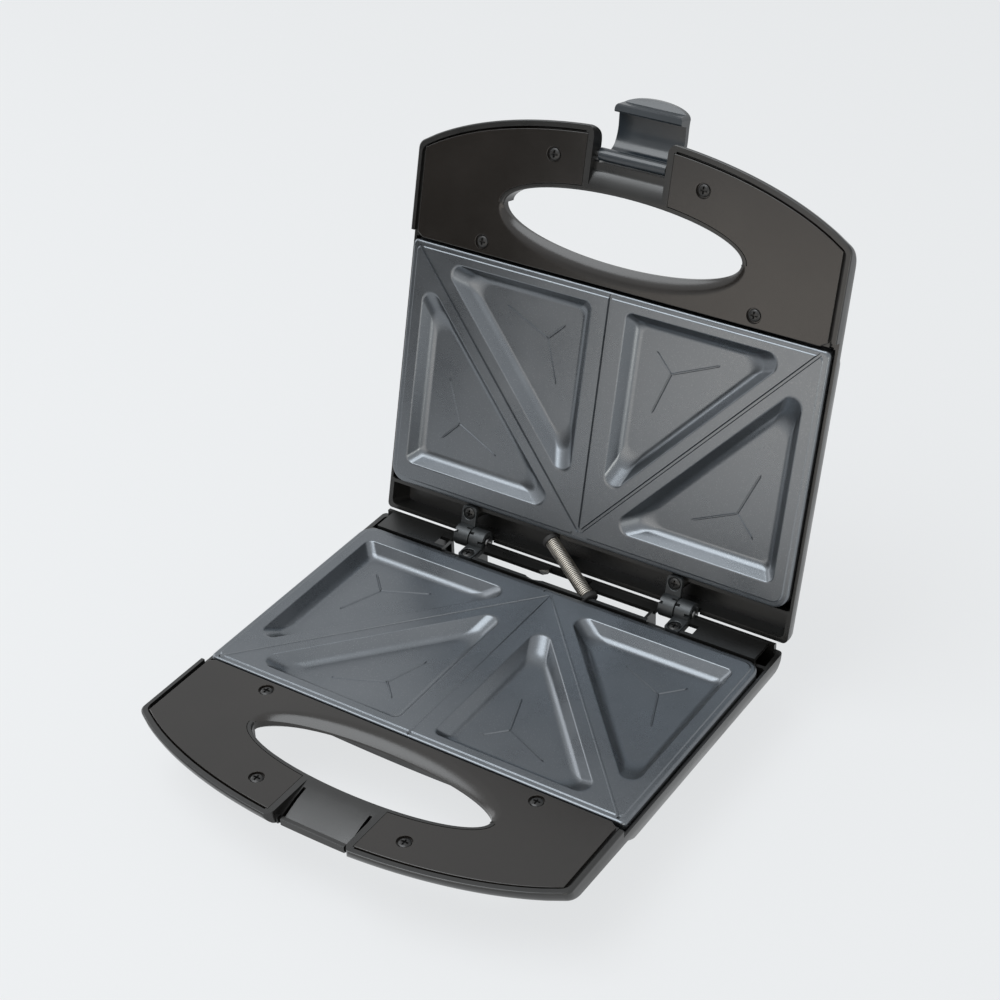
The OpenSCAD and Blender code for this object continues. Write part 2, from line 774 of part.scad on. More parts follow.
module lid_plate() color("slategray") lid_half() difference() {
    plate();
    cutting_lines(ridge_w + 2 * ridge_fit, -1, plate_gap + ridge_h + ridge_fit);
}

// Heating elements: a U of round tube that lies against the backs of the pockets.
module heating_element() {
    r = element_span / 2;
    run = plate_x - reflector_side - 10 - r;
    translate([0, plate_mid_y, element_z]) {
        for (y = [-r, r])
            translate([0, y, 0]) x_cylinder(-run, plate_x - reflector_side - 18, element_r);
        translate([-run, 0, 0]) rotate([0, 0, 90])
            rotate_extrude(angle = 180) translate([r, 0]) circle(element_r);
    }
}

module base_heating_element() color("gray") base_half() heating_element();
module lid_heating_element() color("gray") lid_half() heating_element();

module heat_reflector() {
    x = plate_x - reflector_side;
    y0 = -plate_front + reflector_front;
    y1 = -plate_rear - reflector_rear;
    difference() {
        box([-x, y0, pocket_under + 1], [x, y1, post_z]);
        box([-x + reflector_t, y0 + reflector_t, 0], [x - reflector_t, y1 - reflector_t, reflector_z]);
        for (sx = [-plate_screw_x, plate_screw_x])
            translate([sx, plate_screw_y, 0]) cylinder(h = body_depth, r = screw_r + screw_fit);
    }
}

module base_heat_reflector() color("silver") base_half() heat_reflector();
module lid_heat_reflector() color("silver") lid_half() heat_reflector();

// A long screw holds each plate and its reflector down on a post of the housing.
module plate_screw(side) {
    z = body_depth - 5;
    translate([side * plate_screw_x, plate_screw_y, 0]) difference() {
        union() {
            translate([0, 0, plate_under + 2]) cylinder(h = z - plate_under - 2, r = screw_r);
            translate([0, 0, z]) cylinder(h = 2.4, r = screw_head_r);
        }
        cross_slot(z + 2.4, 1.2);
    }
}

// The cross in a screw head whose top is at depth z, cut in by h.
module cross_slot(z, h) {
    for (turn = [0, 90])
        rotate(turn) translate([-1.6, -0.35, z - h]) cube([3.2, 0.7, 2 * h]);
}

module base_plate_screw_left() color("darkgray") base_half() plate_screw(-1);
module base_plate_screw_right() color("darkgray") base_half() plate_screw(1);
module lid_plate_screw_left() color("darkgray") lid_half() plate_screw(-1);
module lid_plate_screw_right() color("darkgray") lid_half() plate_screw(1);

module cover_screw(spot) {
    top = cover_top + 0.2;
    translate([spot.x, spot.y, 0]) difference() {
        union() {
            translate([0, 0, top]) cylinder(h = cover_top + screw_head_h - top, r = screw_head_r);
            translate([0, 0, top]) cylinder(h = cover_bottom + 6 - top, r = screw_r);
        }
        cross_slot(top, 0.7);
    }
}

module base_cover_screw_front_left() color("black") base_half() cover_screw(cover_screw_spots[0]);
module base_cover_screw_front_right() color("black") base_half() cover_screw(cover_screw_spots[1]);
module base_cover_screw_rear_left() color("black") base_half() cover_screw(cover_screw_spots[2]);
module base_cover_screw_rear_right() color("black") base_half() cover_screw(cover_screw_spots[3]);
module lid_cover_screw_front_left() color("black") lid_half() cover_screw(cover_screw_spots[0]);
module lid_cover_screw_front_right() color("black") lid_half() cover_screw(cover_screw_spots[1]);
module lid_cover_screw_rear_left() color("black") lid_half() cover_screw(cover_screw_spots[2]);
module lid_cover_screw_rear_right() color("black") lid_half() cover_screw(cover_screw_spots[3]);

// Hinges. The base leaf has the right knuckle of each hinge and the lid leaf has the left one.
module hinge_leaf(x, side) {
    x0 = x + side * tab_offset - knuckle_w / 2;
    x1 = x0 + knuckle_w;
    difference() {
        union() {
            x_cylinder(x0, x1, knuckle_r);
            box([x0, -tab_screw_y - screw_head_r - 0.7, tab_z], [x1, 0, boss_z]);
        }
        x_cylinder(x0 - 1, x1 + 1, hinge_pin_r + pin_fit);
        translate([x + side * tab_offset, -tab_screw_y, 0])
            cylinder(h = boss_z + 1, r = screw_r + screw_fit);
        translate([x + side * tab_offset, -tab_screw_y, tab_z - 1])
            cylinder(h = 1 + screw_head_h, r = screw_head_r + 0.3);
    }
}

module tab_screw(x, side) {
    top = tab_z + 0.1;
    translate([x + side * tab_offset, -tab_screw_y, 0]) difference() {
        union() {
            translate([0, 0, top]) cylinder(h = tab_z + screw_head_h - top, r = screw_head_r);
            translate([0, 0, top]) cylinder(h = trough_depth - 4 - top, r = screw_r);
        }
        cross_slot(top, 0.7);
    }
}

module hinge_pin(x) {
    reach = knuckle_w + knuckle_gap / 2;
    x_cylinder(x - reach - 0.4, x + reach + 0.4, hinge_pin_r);
    x_cylinder(x - reach - 1, x - reach - 0.2, hinge_pin_r + 0.9);
    x_cylinder(x + reach + 0.2, x + reach + 1, hinge_pin_r + 0.9);
}

module base_hinge_leaf_left() color("dimgray") base_half() hinge_leaf(hinge_spots[0], 1);
module base_hinge_leaf_right() color("dimgray") base_half() hinge_leaf(hinge_spots[1], 1);
module lid_hinge_leaf_left() color("dimgray") lid_half() hinge_leaf(hinge_spots[0], -1);
module lid_hinge_leaf_right() color("dimgray") lid_half() hinge_leaf(hinge_spots[1], -1);
module base_hinge_screw_left() color("black") base_half() tab_screw(hinge_spots[0], 1);
module base_hinge_screw_right() color("black") base_half() tab_screw(hinge_spots[1], 1);
module lid_hinge_screw_left() color("black") lid_half() tab_screw(hinge_spots[0], -1);
module lid_hinge_screw_right() color("black") lid_half() tab_screw(hinge_spots[1], -1);
module hinge_pin_left() color("silver") base_half() hinge_pin(hinge_spots[0]);
module hinge_pin_right() color("silver") base_half() hinge_pin(hinge_spots[1]);

module lid_housing() color("dimgray") lid_half() half_shell(-1, lid_seat, lid_seat_dir) {
    rear_rims();
    lid_notch();
    for (spot = lamp_spots)
        translate([spot.x, spot.y, body_depth - 6]) cylinder(h = 8, r = lamp_r + 0.1);
}

// The front notch of the lid: open where the latch turns, stepped up to the grip opening.
module lid_notch() {
    box([-notch_x, -handle_front - 1, -1], [notch_x, -notch_back, body_depth]);
    x_prism(-notch_x, notch_x, [
        [-notch_back - 1, -1], [-notch_back - 1, 4], [-notch_back + 3.5, 4],
        [-notch_back + 4.5, 2.8], [-grip_y - grip_b - collar, rim_gap],
        [-grip_y - grip_b - collar, -1]
    ]);
    translate([0, -latch_y, latch_z])
        x_cylinder(-notch_wall_x + 0.6, notch_wall_x - 0.6, latch_pin_r + screw_fit);
}

module latch_pin() color("silver") lid_half()
    translate([0, -latch_y, latch_z]) x_cylinder(-notch_wall_x + 0.7, notch_wall_x - 0.7, latch_pin_r);

// The latch, drawn hooked under the catch about its own pin, then flipped out and up.
latch_profile = [
    [0, 3], [-7, latch_t], [-12.2, 1.2], [-15, -4], [-15.9, -10], [-15.6, -19.5],
    [-18, -28.5], [-15.6, -29], [-13, -22.6], [-7.6, -22.2], [-7.2, -18.6],
    [latch_t - 15.4, -17.4], [latch_t - 15.9, -9], [-11, -3], [-7, -0.6], [-2.4, -2]
];

module latch() color("darkslategray") lid_half()
    translate([0, -latch_y, latch_z]) rotate([-90, 0, 0]) difference() {
        intersection() {
            union() {
                x_prism(-latch_w / 2, latch_w / 2, latch_profile);
                x_cylinder(-latch_w / 2, latch_w / 2, 3);
            }
            translate([0, 10, 0]) rotate([90, 0, 0]) linear_extrude(40) latch_front();
        }
        x_cylinder(-half_w, half_w, latch_pin_r + pin_fit);
    }

// The latch seen from the front: the thumb tab ends in a shallow arc.
module latch_front() {
    x = latch_w / 2;
    root = tab_arc - 29;
    polygon(concat([[-x - 1, root], [-x - 1, 9], [x + 1, 9], [x + 1, root]],
        [for (t = [0:10:180]) [x * cos(t), root - (tab_arc + 0.3) * sin(t)]]));
}

// Feet, lamps and what else the base and the lid hold.
module foot(spot) {
    translate([spot.x, spot.y, body_depth]) difference() {
        cylinder(h = foot_h, r = foot_r);
        translate([0, 0, foot_h - 2]) cylinder(h = 3, r = foot_r / 2);
    }
}

module foot_front_left() color("black") base_half() foot(foot_spots[0]);
module foot_front_right() color("black") base_half() foot(foot_spots[1]);
module foot_rear_left() color("black") base_half() foot(foot_spots[2]);
module foot_rear_right() color("black") base_half() foot(foot_spots[3]);

module lamp(spot) {
    translate([spot.x, spot.y, 0]) {
        translate([0, 0, body_depth - 6]) cylinder(h = 7, r = lamp_r);
        translate([0, 0, body_depth - 7]) cylinder(h = 1 + eps, r = lamp_r - 1);
    }
}

module power_lamp() color("red") lid_half() lamp(lamp_spots[0]);
module ready_lamp() color("green") lid_half() lamp(lamp_spots[1]);

// A strip screwed behind the lamps holds both of them against the lid.
module lamp_holder() color("gray") lid_half() {
    z = body_depth - 7;
    difference() {
        box([lamp_spots[0].x - holder_past, lamp_spots[0].y - lamp_r - 1, z],
            [lamp_spots[1].x + holder_past, lamp_spots[0].y + lamp_r + 1, z + 1]);
        for (spot = lamp_spots)
            translate([spot.x, spot.y, z - 1]) cylinder(h = 3, r = lamp_r - 0.9);
    }
    for (x = [lamp_spots[0].x - holder_past + 1, lamp_spots[1].x + holder_past - 1])
        translate([x, lamp_spots[0].y, z + 1 - eps]) cylinder(h = 7 - 1 - wall + eps, r = 1.5);
}

module thermostat() color("ivory") base_half()
    translate([thermostat_r + 5, plate_mid_y - 6, post_z]) {
        cylinder(h = thermostat_h, r = thermostat_r);
        translate([-thermostat_r - 2, -thermostat_r + 3, 1])
            cube([2 * thermostat_r + 4, 2 * thermostat_r - 6, thermostat_h / 2]);
    }

module thermal_fuse() color("white") base_half()
    translate([-12 - fuse_l, plate_mid_y + 10, post_z + fuse_r]) x_cylinder(0, fuse_l, fuse_r);

module terminal_block() color("ivory") base_half()
    translate([-block_l / 2, plate_mid_y - block_w - 2, body_depth - wall - block_h])
        cube([block_l, block_w, block_h]);

module cord_gland() color("black") base_half()
    translate([gland_spot.x, gland_spot.y, gland_spot.z]) rotate([-90, 0, 0]) difference() {
        union() {
            cylinder(h = 3, r = gland_r);
            translate([0, 0, -wall - 1]) cylinder(h = wall + 1 + eps, r = gland_hole_r + 1);
        }
        translate([0, 0, -10]) cylinder(h = 20, r = gland_hole_r);
    }

// Spring conduit. It carries the wires of the lid and runs straight from a bush in the
// base to a bush in the lid while the toaster is open.
module along(from, dir) {
    translate(from) rotate([0, acos(dir.z / norm(dir)), atan2(dir.y, dir.x)]) children();
}

module bush_hole(seat, dir) {
    along(seat - unit(dir), dir) cylinder(h = 14, r = bush_r + 0.05);
}

module conduit_bush(seat, dir) {
    along(seat, dir) difference() {
        cylinder(h = bush_length, r = bush_r);
        translate([0, 0, bush_t]) cylinder(h = bush_length, r = bush_r - bush_t);
        translate([0, 0, -1]) cylinder(h = bush_length, r = conduit_r - wire_d - 0.4);
    }
}

module base_conduit_bush() color("black") base_half() conduit_bush(base_seat, base_seat_dir);
module lid_conduit_bush() color("black") lid_half() conduit_bush(lid_seat, lid_seat_dir);

// The curls: eight steps a curl round the straight run between the two bush floors.
coil_dir = unit(conduit_run);
coil_a = unit(cross(coil_dir, [0, 0, 1]));
coil_b = cross(coil_dir, coil_a);
coil_r = conduit_r - wire_d / 2;
coil_start = [base_seat.x, base_seat.y, -base_seat.z] + coil_dir * (bush_t + wire_d / 2);
coil_length = norm(conduit_run) - 2 * bush_t - wire_d;
curl_steps = 8;
coil_n = floor(coil_length / wire_pitch * curl_steps);

function coil_out(k) =
    let (t = 360 * k / curl_steps)
    coil_a * cos(t) + coil_b * sin(t);

function coil_at(k) =
    coil_start + coil_dir * (coil_length * k / coil_n) + coil_r * coil_out(k);

function wire_ring(k) =
    let (
        d = unit(coil_at(k + 0.02) - coil_at(k - 0.02)),
        u = coil_out(k),
        v = cross(d, u)
    )
    [for (t = [300:-60:0]) coil_at(k) + wire_d / 2 * (u * cos(t) + v * sin(t))];

coil_gap = min([for (i = [0:coil_n - 5], j = [i + 5:min(coil_n, i + 12)])
    norm(coil_at(i) - coil_at(j))]) - wire_d;

module spring_conduit() color("lightgray") {
    echo(least_gap_between_curls = coil_gap, curls = coil_n / curl_steps);
    translate([0, hinge_y, hinge_z]) loft([for (k = [0:coil_n]) wire_ring(k)]);
}

base_housing();
base_handle_cover();
base_plate();
base_heating_element();
base_heat_reflector();
thermostat();
thermal_fuse();
terminal_block();
cord_gland();
base_conduit_bush();
spring_conduit();
foot_front_left();
foot_front_right();
foot_rear_left();
foot_rear_right();
base_hinge_leaf_left();
base_hinge_leaf_right();
hinge_pin_left();
hinge_pin_right();
base_hinge_screw_left();
base_hinge_screw_right();
base_cover_screw_front_left();
base_cover_screw_front_right();
base_cover_screw_rear_left();
base_cover_screw_rear_right();
base_plate_screw_left();
base_plate_screw_right();
lid_housing();
lid_handle_cover();
lid_plate();
lid_heating_element();
lid_heat_reflector();
lid_conduit_bush();
lid_hinge_leaf_left();
lid_hinge_leaf_right();
lid_hinge_screw_left();
lid_hinge_screw_right();
lid_cover_screw_front_left();
lid_cover_screw_front_right();
lid_cover_screw_rear_left();
lid_cover_screw_rear_right();
lid_plate_screw_left();
lid_plate_screw_right();
power_lamp();
ready_lamp();
lamp_holder();
latch_pin();
latch();
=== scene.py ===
import json
from math import acos, atan2, cos, pi, radians, sin, sqrt, tan, tau

import bmesh
import bpy
from mathutils import Matrix, Vector


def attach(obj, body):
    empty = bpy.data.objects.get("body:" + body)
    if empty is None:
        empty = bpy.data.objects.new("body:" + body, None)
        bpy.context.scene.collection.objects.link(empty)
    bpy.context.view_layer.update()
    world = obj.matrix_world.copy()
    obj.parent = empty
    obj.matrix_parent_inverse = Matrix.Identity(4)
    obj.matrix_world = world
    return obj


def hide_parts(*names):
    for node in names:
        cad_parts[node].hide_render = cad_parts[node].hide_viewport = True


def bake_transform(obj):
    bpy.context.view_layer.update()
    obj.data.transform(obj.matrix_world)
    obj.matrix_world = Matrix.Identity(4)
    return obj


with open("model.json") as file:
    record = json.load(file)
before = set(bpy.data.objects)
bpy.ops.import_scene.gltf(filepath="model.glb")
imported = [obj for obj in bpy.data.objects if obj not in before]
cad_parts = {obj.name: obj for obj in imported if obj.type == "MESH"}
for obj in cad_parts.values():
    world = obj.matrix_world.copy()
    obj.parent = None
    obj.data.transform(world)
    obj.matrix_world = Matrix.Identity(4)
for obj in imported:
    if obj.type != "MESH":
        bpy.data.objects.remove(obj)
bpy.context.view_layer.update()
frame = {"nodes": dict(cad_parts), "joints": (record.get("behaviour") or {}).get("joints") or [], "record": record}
scene = bpy.context.scene

# ---- Camera --------------------------------------------------
# It stands where the photographer stood: in front of the handle and to the right, looking down
# at the open toaster with a long lens.
def added(name, data):
    piece = bpy.data.objects.new(name, data)
    scene.collection.objects.link(piece)
    return piece


lid_hinge = next(joint for joint in frame["joints"] if joint["name"] == "lid_hinge")
hinge_place = Vector(lid_hinge["pos_m"])
camera_turn = radians(33.95)
camera_dip = radians(33.73)
camera_roll = radians(-1.85)
camera_distance = 1.03399
camera_aside = -0.03397
camera_above = 0.03582
camera_lens = 77.52

ahead = Vector((
    -sin(camera_turn) * cos(camera_dip),
    cos(camera_turn) * cos(camera_dip),
    -sin(camera_dip),
))
level = Vector((cos(camera_turn), sin(camera_turn), 0))
upright = level.cross(ahead)
right = level * cos(camera_roll) + upright * sin(camera_roll)
above = upright * cos(camera_roll) - level * sin(camera_roll)
camera = added("camera", bpy.data.cameras.new("camera"))
camera.data.lens = camera_lens
camera.data.sensor_width = 36
camera.data.clip_start = 0.05
camera.data.clip_end = 40
camera_place = hinge_place - ahead * camera_distance + level * camera_aside + upright * camera_above
camera_axes = Matrix((right, above, -ahead)).transposed().to_4x4()
camera.matrix_world = Matrix.Translation(camera_place) @ camera_axes
scene.camera = camera
scene.view_settings.view_transform = "Standard"


# ---- Studio --------------------------------------------------
# A pale seamless floor that keeps a soft shadow, a large soft box overhead, one at each side and a
# low one in front. A dark card, seen only in reflections, darkens what mirrors the left.
studio_colour = (0.839, 0.855, 0.868, 1)
floor_shadow_share = 0.18


def shader(tree, kind, values=None, **settings):
    """A shader node: settings are its own options, values the constants of its sockets."""
    node = tree.nodes.new("ShaderNode" + kind)
    node.location.x = 180 * len(tree.nodes)
    for name, value in settings.items():
        setattr(node, name, value)
    for socket, value in (values or {}).items():
        node.inputs[socket].default_value = value
    return node


def wire(tree, *runs):
    """Each run is a node, its output, the next node and the input there."""
    for source, output, target, entry in runs:
        tree.links.new(source.outputs[output], target.inputs[entry])


def sheet(name, corners, material):
    mesh = bpy.data.meshes.new(name)
    mesh.from_pydata(corners, [], [(0, 1, 2, 3)])
    mesh.materials.append(material)
    return added(name, mesh)


paper = bpy.data.materials.new("studio_paper")
paper.use_nodes = True
tree = paper.node_tree
tree.nodes.clear()
ray = shader(tree, "LightPath")
matte = shader(tree, "BsdfDiffuse", {"Color": studio_colour})
glow = shader(tree, "Emission", {"Color": studio_colour, "Strength": 1.02})
seen = shader(tree, "MixShader", {0: 1 - floor_shadow_share})
bounced = shader(tree, "MixShader")
surface = shader(tree, "OutputMaterial")
direct = shader(tree, "Math", operation="MAXIMUM")
wire(
    tree,
    (ray, "Is Camera Ray", direct, 0), (ray, "Is Glossy Ray", direct, 1),
    (matte, 0, seen, 1), (glow, 0, seen, 2),
    (direct, 0, bounced, 0), (matte, 0, bounced, 1), (seen, 0, bounced, 2),
    (bounced, 0, surface, "Surface"),
)
floor = sheet("studio_floor", [(-9, -9, 0), (9, -9, 0), (9, 9, 0), (-9, 9, 0)], paper)

world = bpy.data.worlds.new("studio")
scene.world = world
world.use_nodes = True
tree = world.node_tree
tree.nodes.clear()
ray = shader(tree, "LightPath")
around = shader(tree, "Background", {"Color": (1, 1, 1, 1), "Strength": 0.42})
backdrop = shader(tree, "Background", {"Color": studio_colour})
shown = shader(tree, "Math", operation="MAXIMUM")
through = shader(tree, "Math", operation="MAXIMUM")
pick = shader(tree, "MixShader")
surface = shader(tree, "OutputWorld")
wire(
    tree,
    (ray, "Is Camera Ray", shown, 0), (ray, "Is Glossy Ray", shown, 1),
    (shown, 0, through, 0), (ray, "Is Transmission Ray", through, 1),
    (through, 0, pick, 0), (around, 0, pick, 1), (backdrop, 0, pick, 2),
    (pick, 0, surface, "Surface"),
)


def softbox(name, place, target, width, height, glare, colour):
    lamp = bpy.data.lights.new(name, "AREA")
    lamp.color = colour
    lamp.shape = "RECTANGLE"
    lamp.size = width
    lamp.size_y = height
    lamp.energy = glare * pi * width * height
    box = added(name, lamp)
    box.location = place
    box.rotation_euler = (Vector(target) - Vector(place)).to_track_quat("-Z", "Y").to_euler()
    box.visible_camera = False


softbox("overhead_softbox", (-0.35, -0.42, 1.25), (0, 0, 0.08), 1.15, 0.9, 3.3, (0.93, 0.97, 1))
softbox("left_softbox", (-1.25, 0.1, 0.5), (0, 0, 0.1), 0.7, 0.7, 1.5, (0.97, 0.98, 1))
softbox("right_softbox", (0.98, -0.86, 0.16), (0, 0, 0.12), 0.62, 0.5, 3.0, (1, 0.96, 0.86))
softbox("front_softbox", (-0.08, -0.66, 0.13), (-0.08, 0.1, 0.16), 0.56, 0.24, 0.92, (1, 0.87, 0.73))

felt = bpy.data.materials.new("dark_felt")
felt.use_nodes = True
for socket, value in (("Base Color", (0.02, 0.02, 0.02, 1)), ("Roughness", 0.9)):
    felt.node_tree.nodes["Principled BSDF"].inputs[socket].default_value = value
card_left, card_right, card_y, card_top = -1.3, -0.4, -0.62, 0.5
card = sheet("dark_card", [
    (card_left, card_y, 0.001), (card_right, card_y, 0.001),
    (card_right, card_y, card_top), (card_left, card_y, card_top),
], felt)
card.visible_camera = False
card.visible_diffuse = False
card.visible_shadow = False


# ---- Housings ------------------------------------------------
# Two moulded shells of satin black heat-resistant plastic, alike but for their handle notch and
# rear ledge. A steep mould gives them round sides and a fine spark-eroded grain. Each is drawn as
# it lies when closed, in millimetres: x along the hinge, y toward the rear, z the depth into it.
open_angle = radians(lid_hinge["range_deg"][1])
to_metres = Matrix.Scale(0.001, 4)
base_place = Matrix.Translation(hinge_place) @ Matrix.Scale(-1, 4, (0, 0, 1)) @ to_metres
lid_place = Matrix.Translation(hinge_place) @ Matrix.Rotation(-open_angle, 4, "X") @ to_metres

half_width = 112
rim_gap = 0.4
depth = 33
wall = 2.2
handle_front = 214
front_long = 135
front_short = 62
nose_drop = 8
nose_reach = 9
side_flat = 4
side_round = depth - side_flat
rear_wall_y = 1
rear_round = 16
front_corner = 5
rear_corner = 2.5
rear_inside = rear_wall_y - wall
rim_step_z = 4.3
handle_root_depth = 9.6
reach_points = [(8.4, 205), (handle_root_depth, 150), (31, 129), (33, 124)]
grip_long = 62
grip_short = 15.7
grip_y = -168
collar = 2.3
relief_wall = 10.5
skirt_seat = 5.4
rear_short = 16.5
cover_x = 108
cover_bottom = 2.6
cover_fit = 0.2
cover_back_y = -141.5
bulkhead = 1.8
trough_depth = 15
partition_y = -14.8
trough_front_y = partition_y + bulkhead
ledge_top = 0.6
ledge_bottom = 2.6
ledge_end_y = -0.8
notch_x = 19
notch_wall_x = 22
plate_x = 110
plate_rear_y = -15.8
plate_front_y = -140
bed_fit = 0.6
bed_depth = 8.1
tab_offset = 4.3
hinge_x = 57.5
tab_screw_y = -11.2
tab_bottom = 2.6
tab_boss = 3.8
knuckle_room = 6.2
screw_hole = 1.55
cover_screw_spots = [(-38.5, -196), (38.5, -196), (-71.6, -147), (71.6, -147)]
plate_screw_y = -77.9
plate_screw_spots = [(-53, plate_screw_y), (53, plate_screw_y)]
gland_x = 88
gland_z = 11.5
lamp_x = 11
lamp_y = -116
lamp_radius = 4
latch_y = -200
latch_z = 6


def unit(v):
    return Vector(v).normalized()


def fillet(before, corner, after, radius, steps):
    to_before, to_after = unit(before - corner), unit(after - corner)
    half = acos(max(-1, min(1, to_before.dot(to_after)))) / 2
    centre = corner + unit(to_before + to_after) * radius / sin(half)
    first = corner + to_before * radius / tan(half) - centre
    last = corner + to_after * radius / tan(half) - centre
    start = atan2(first.y, first.x)
    sweep = (atan2(last.y, last.x) - start + 3 * pi) % tau - pi
    turns = [start + sweep * k / steps for k in range(steps + 1)]
    return [centre + radius * Vector((cos(t), sin(t))) for t in turns]


def rounded(corners, radii, steps=6):
    corners = [Vector(c) for c in corners]
    count = len(corners)
    return [
        point
        for k in range(count)
        for point in fillet(corners[k - 1], corners[k], corners[(k + 1) % count], radii[k], steps)
    ]


def ellipse(grow=0, steps=96):
    """The grip opening, grown: its rear half is a little deeper than its front half."""
    points = []
    for t in [tau * k / steps for k in range(steps)]:
        short = rear_short if sin(t) > 0 else grip_short
        points.append(Vector((
            (grip_long + grow) * cos(t), grip_y + (short + grow) * sin(t),
        )))
    return points


def solid(rings, closed=False):
    """A closed skin through rings with equally many points; closed joins the last to the first."""
    count = len(rings[0])
    faces = []
    if not closed:
        faces = [tuple(range(count)), tuple(range((len(rings) - 1) * count, len(rings) * count))]
    for j in range(len(rings) if closed else len(rings) - 1):
        for k in range(count):
            a, b = j * count + k, j * count + (k + 1) % count
            c, d = (b + count) % (count * len(rings)), (a + count) % (count * len(rings))
            faces.append((a, b, c, d))
    mesh = bpy.data.meshes.new("solid")
    mesh.from_pydata([tuple(point) for ring in rings for point in ring], [], faces)
    draft = bmesh.new()
    draft.from_mesh(mesh)
    bmesh.ops.recalc_face_normals(draft, faces=draft.faces)
    draft.to_mesh(mesh)
    draft.free()
    return added("solid", mesh)


def at_depth(points, z):
    return [(point[0], point[1], z) for point in points]


def prism(points, low, high):
    return solid([at_depth(points, low), at_depth(points, high)])


def block(low, high):
    corners = [(low[0], low[1]), (high[0], low[1]), (high[0], high[1]), (low[0], high[1])]
    return prism(corners, low[2], high[2])


def slab(half_x, low_y, high_y, low_z, high_z):
    """A block that lies across the middle."""
    return block((-half_x, low_y, low_z), (half_x, high_y, high_z))


def circle(x, y, radius, steps=40):
    turns = [tau * k / steps for k in range(steps)]
    return [(x + radius * cos(t), y + radius * sin(t)) for t in turns]


def round_bar(x, y, radius, low, high, steps=40):
    return prism(circle(x, y, radius, steps), low, high)


def round_bars(spots, radius, low, high):
    return [round_bar(x, y, radius, low, high) for x, y in spots]


def turned(profile, place=None, closed=False, steps=48):
    """A turned piece: the profile's (radius, height) points go round the Z axis."""
    piece = solid([at_depth(circle(0, 0, radius, steps), z) for radius, z in profile], closed)
    if place is not None:
        piece.data.transform(place)
        if place.determinant() < 0:
            piece.data.flip_normals()
    return piece


def rod(radius, low, high, place):
    return turned([(radius, low), (radius, high)], place)


def along_x(x, y=0, z=0):
    return Matrix.Translation((x, y, z)) @ Matrix.Rotation(pi / 2, 4, "Y")


def hinge_rods(radius, half_long):
    return [rod(radius, -half_long, half_long, along_x(x)) for x in (-hinge_x, hinge_x)]


def tab_spots(side):
    return [(x + side * tab_offset, tab_screw_y) for x in (-hinge_x, hinge_x)]


def mirrored(low, high):
    return [block(low, high), block((-high[0], low[1], low[2]), (-low[0], high[1], high[2]))]


def shaped(body, operation, tools):
    for tool in tools:
        step = body.modifiers.new("step", "BOOLEAN")
        step.operation = operation
        step.solver = "MANIFOLD"
        step.object = tool
    bpy.context.view_layer.update()
    graph = bpy.context.evaluated_depsgraph_get()
    mesh = bpy.data.meshes.new_from_object(body.evaluated_get(graph))
    body.modifiers.clear()
    body.data = mesh
    for tool in tools:
        bpy.data.objects.remove(tool)
    return body


def cut(body, *tools):
    return shaped(body, "DIFFERENCE", tools)


def join(body, *tools):
    return shaped(body, "UNION", tools)


def clip(body, *tools):
    return shaped(body, "INTERSECT", tools)


finishes = {}


def finished(piece, name, body, slot, node, crease=32):
    """Puts a drawn piece in its place, shades it and lets it stand for its node."""
    mesh = piece.data
    place = base_place if body == "base" else lid_place
    mesh.transform(place)
    if place.determinant() < 0:
        mesh.flip_normals()
    draft = bmesh.new()
    draft.from_mesh(mesh)
    bmesh.ops.remove_doubles(draft, verts=draft.verts, dist=2e-6)
    bmesh.ops.dissolve_degenerate(draft, edges=draft.edges, dist=1e-6)
    draft.to_mesh(mesh)
    draft.free()
    mesh.shade_smooth()
    mesh.set_sharp_from_angle(angle=radians(crease))
    mesh.materials.clear()
    mesh.materials.append(finishes[slot])
    weighting = piece.modifiers.new("even_shading", "WEIGHTED_NORMAL")
    weighting.keep_sharp = True
    weighting.weight = 80
    piece.name = name
    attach(piece, body)
    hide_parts(node)


def mirror_x(points):
    return [(-point[0], point[1]) for point in points]


def reach_at(z):
    """How far the handle's outside reaches forward at a depth: a round nose, then a smooth belly."""
    if z <= rim_gap + nose_drop:
        share = max(0, (z - rim_gap) / nose_drop)
        return handle_front - nose_reach * (1 - sqrt(max(0, 1 - share * share)))
    for k in range(len(reach_points) - 1):
        (z0, r0), (z1, r1) = reach_points[k], reach_points[k + 1]
        if z <= z1:
            return r0 + (r1 - r0) * (z - z0) / (z1 - z0)
    return reach_points[-1][1]


def rounding(z, flat, radius):
    return 0 if z <= flat else radius - sqrt(max(0, radius ** 2 - (z - flat) ** 2))


def front_at(x, reach, inset):
    short = front_short * (reach - 100) / (handle_front - 100)
    return -(reach - short) - short * sqrt(1 - (x / (front_long - inset)) ** 2)


def shell_outline(z, inset=0, front_steps=60, corner_steps=8):
    reach = reach_at(z) - inset
    side = rounding(z, side_flat, side_round) + inset
    x = half_width - side
    rear = rear_wall_y - rounding(z, depth - rear_round, rear_round) - inset
    bend = x - front_corner - 4
    front = [bend * (2 * k / front_steps - 1) for k in range(front_steps + 1)]
    points = [Vector((t, front_at(t, reach, side))) for t in front]
    ways = [(bend, front_at(bend, reach, side)), (x, front_at(x, reach, side)), (x, rear)]
    corners = [Vector(c) for c in ways + mirror_x(ways[::-1])]
    for k, radius in enumerate((front_corner, rear_corner, rear_corner, front_corner)):
        points += fillet(*corners[k:k + 3], radius, corner_steps)
    return points


def shell_levels(steps):
    rises = [sin(radians(90 * k / steps)) for k in range(1, steps + 1)]
    under = [handle_root_depth + (depth - handle_root_depth) * rise for rise in rises]
    return [rim_gap + nose_drop * rise for rise in rises] + [9, handle_root_depth] + under


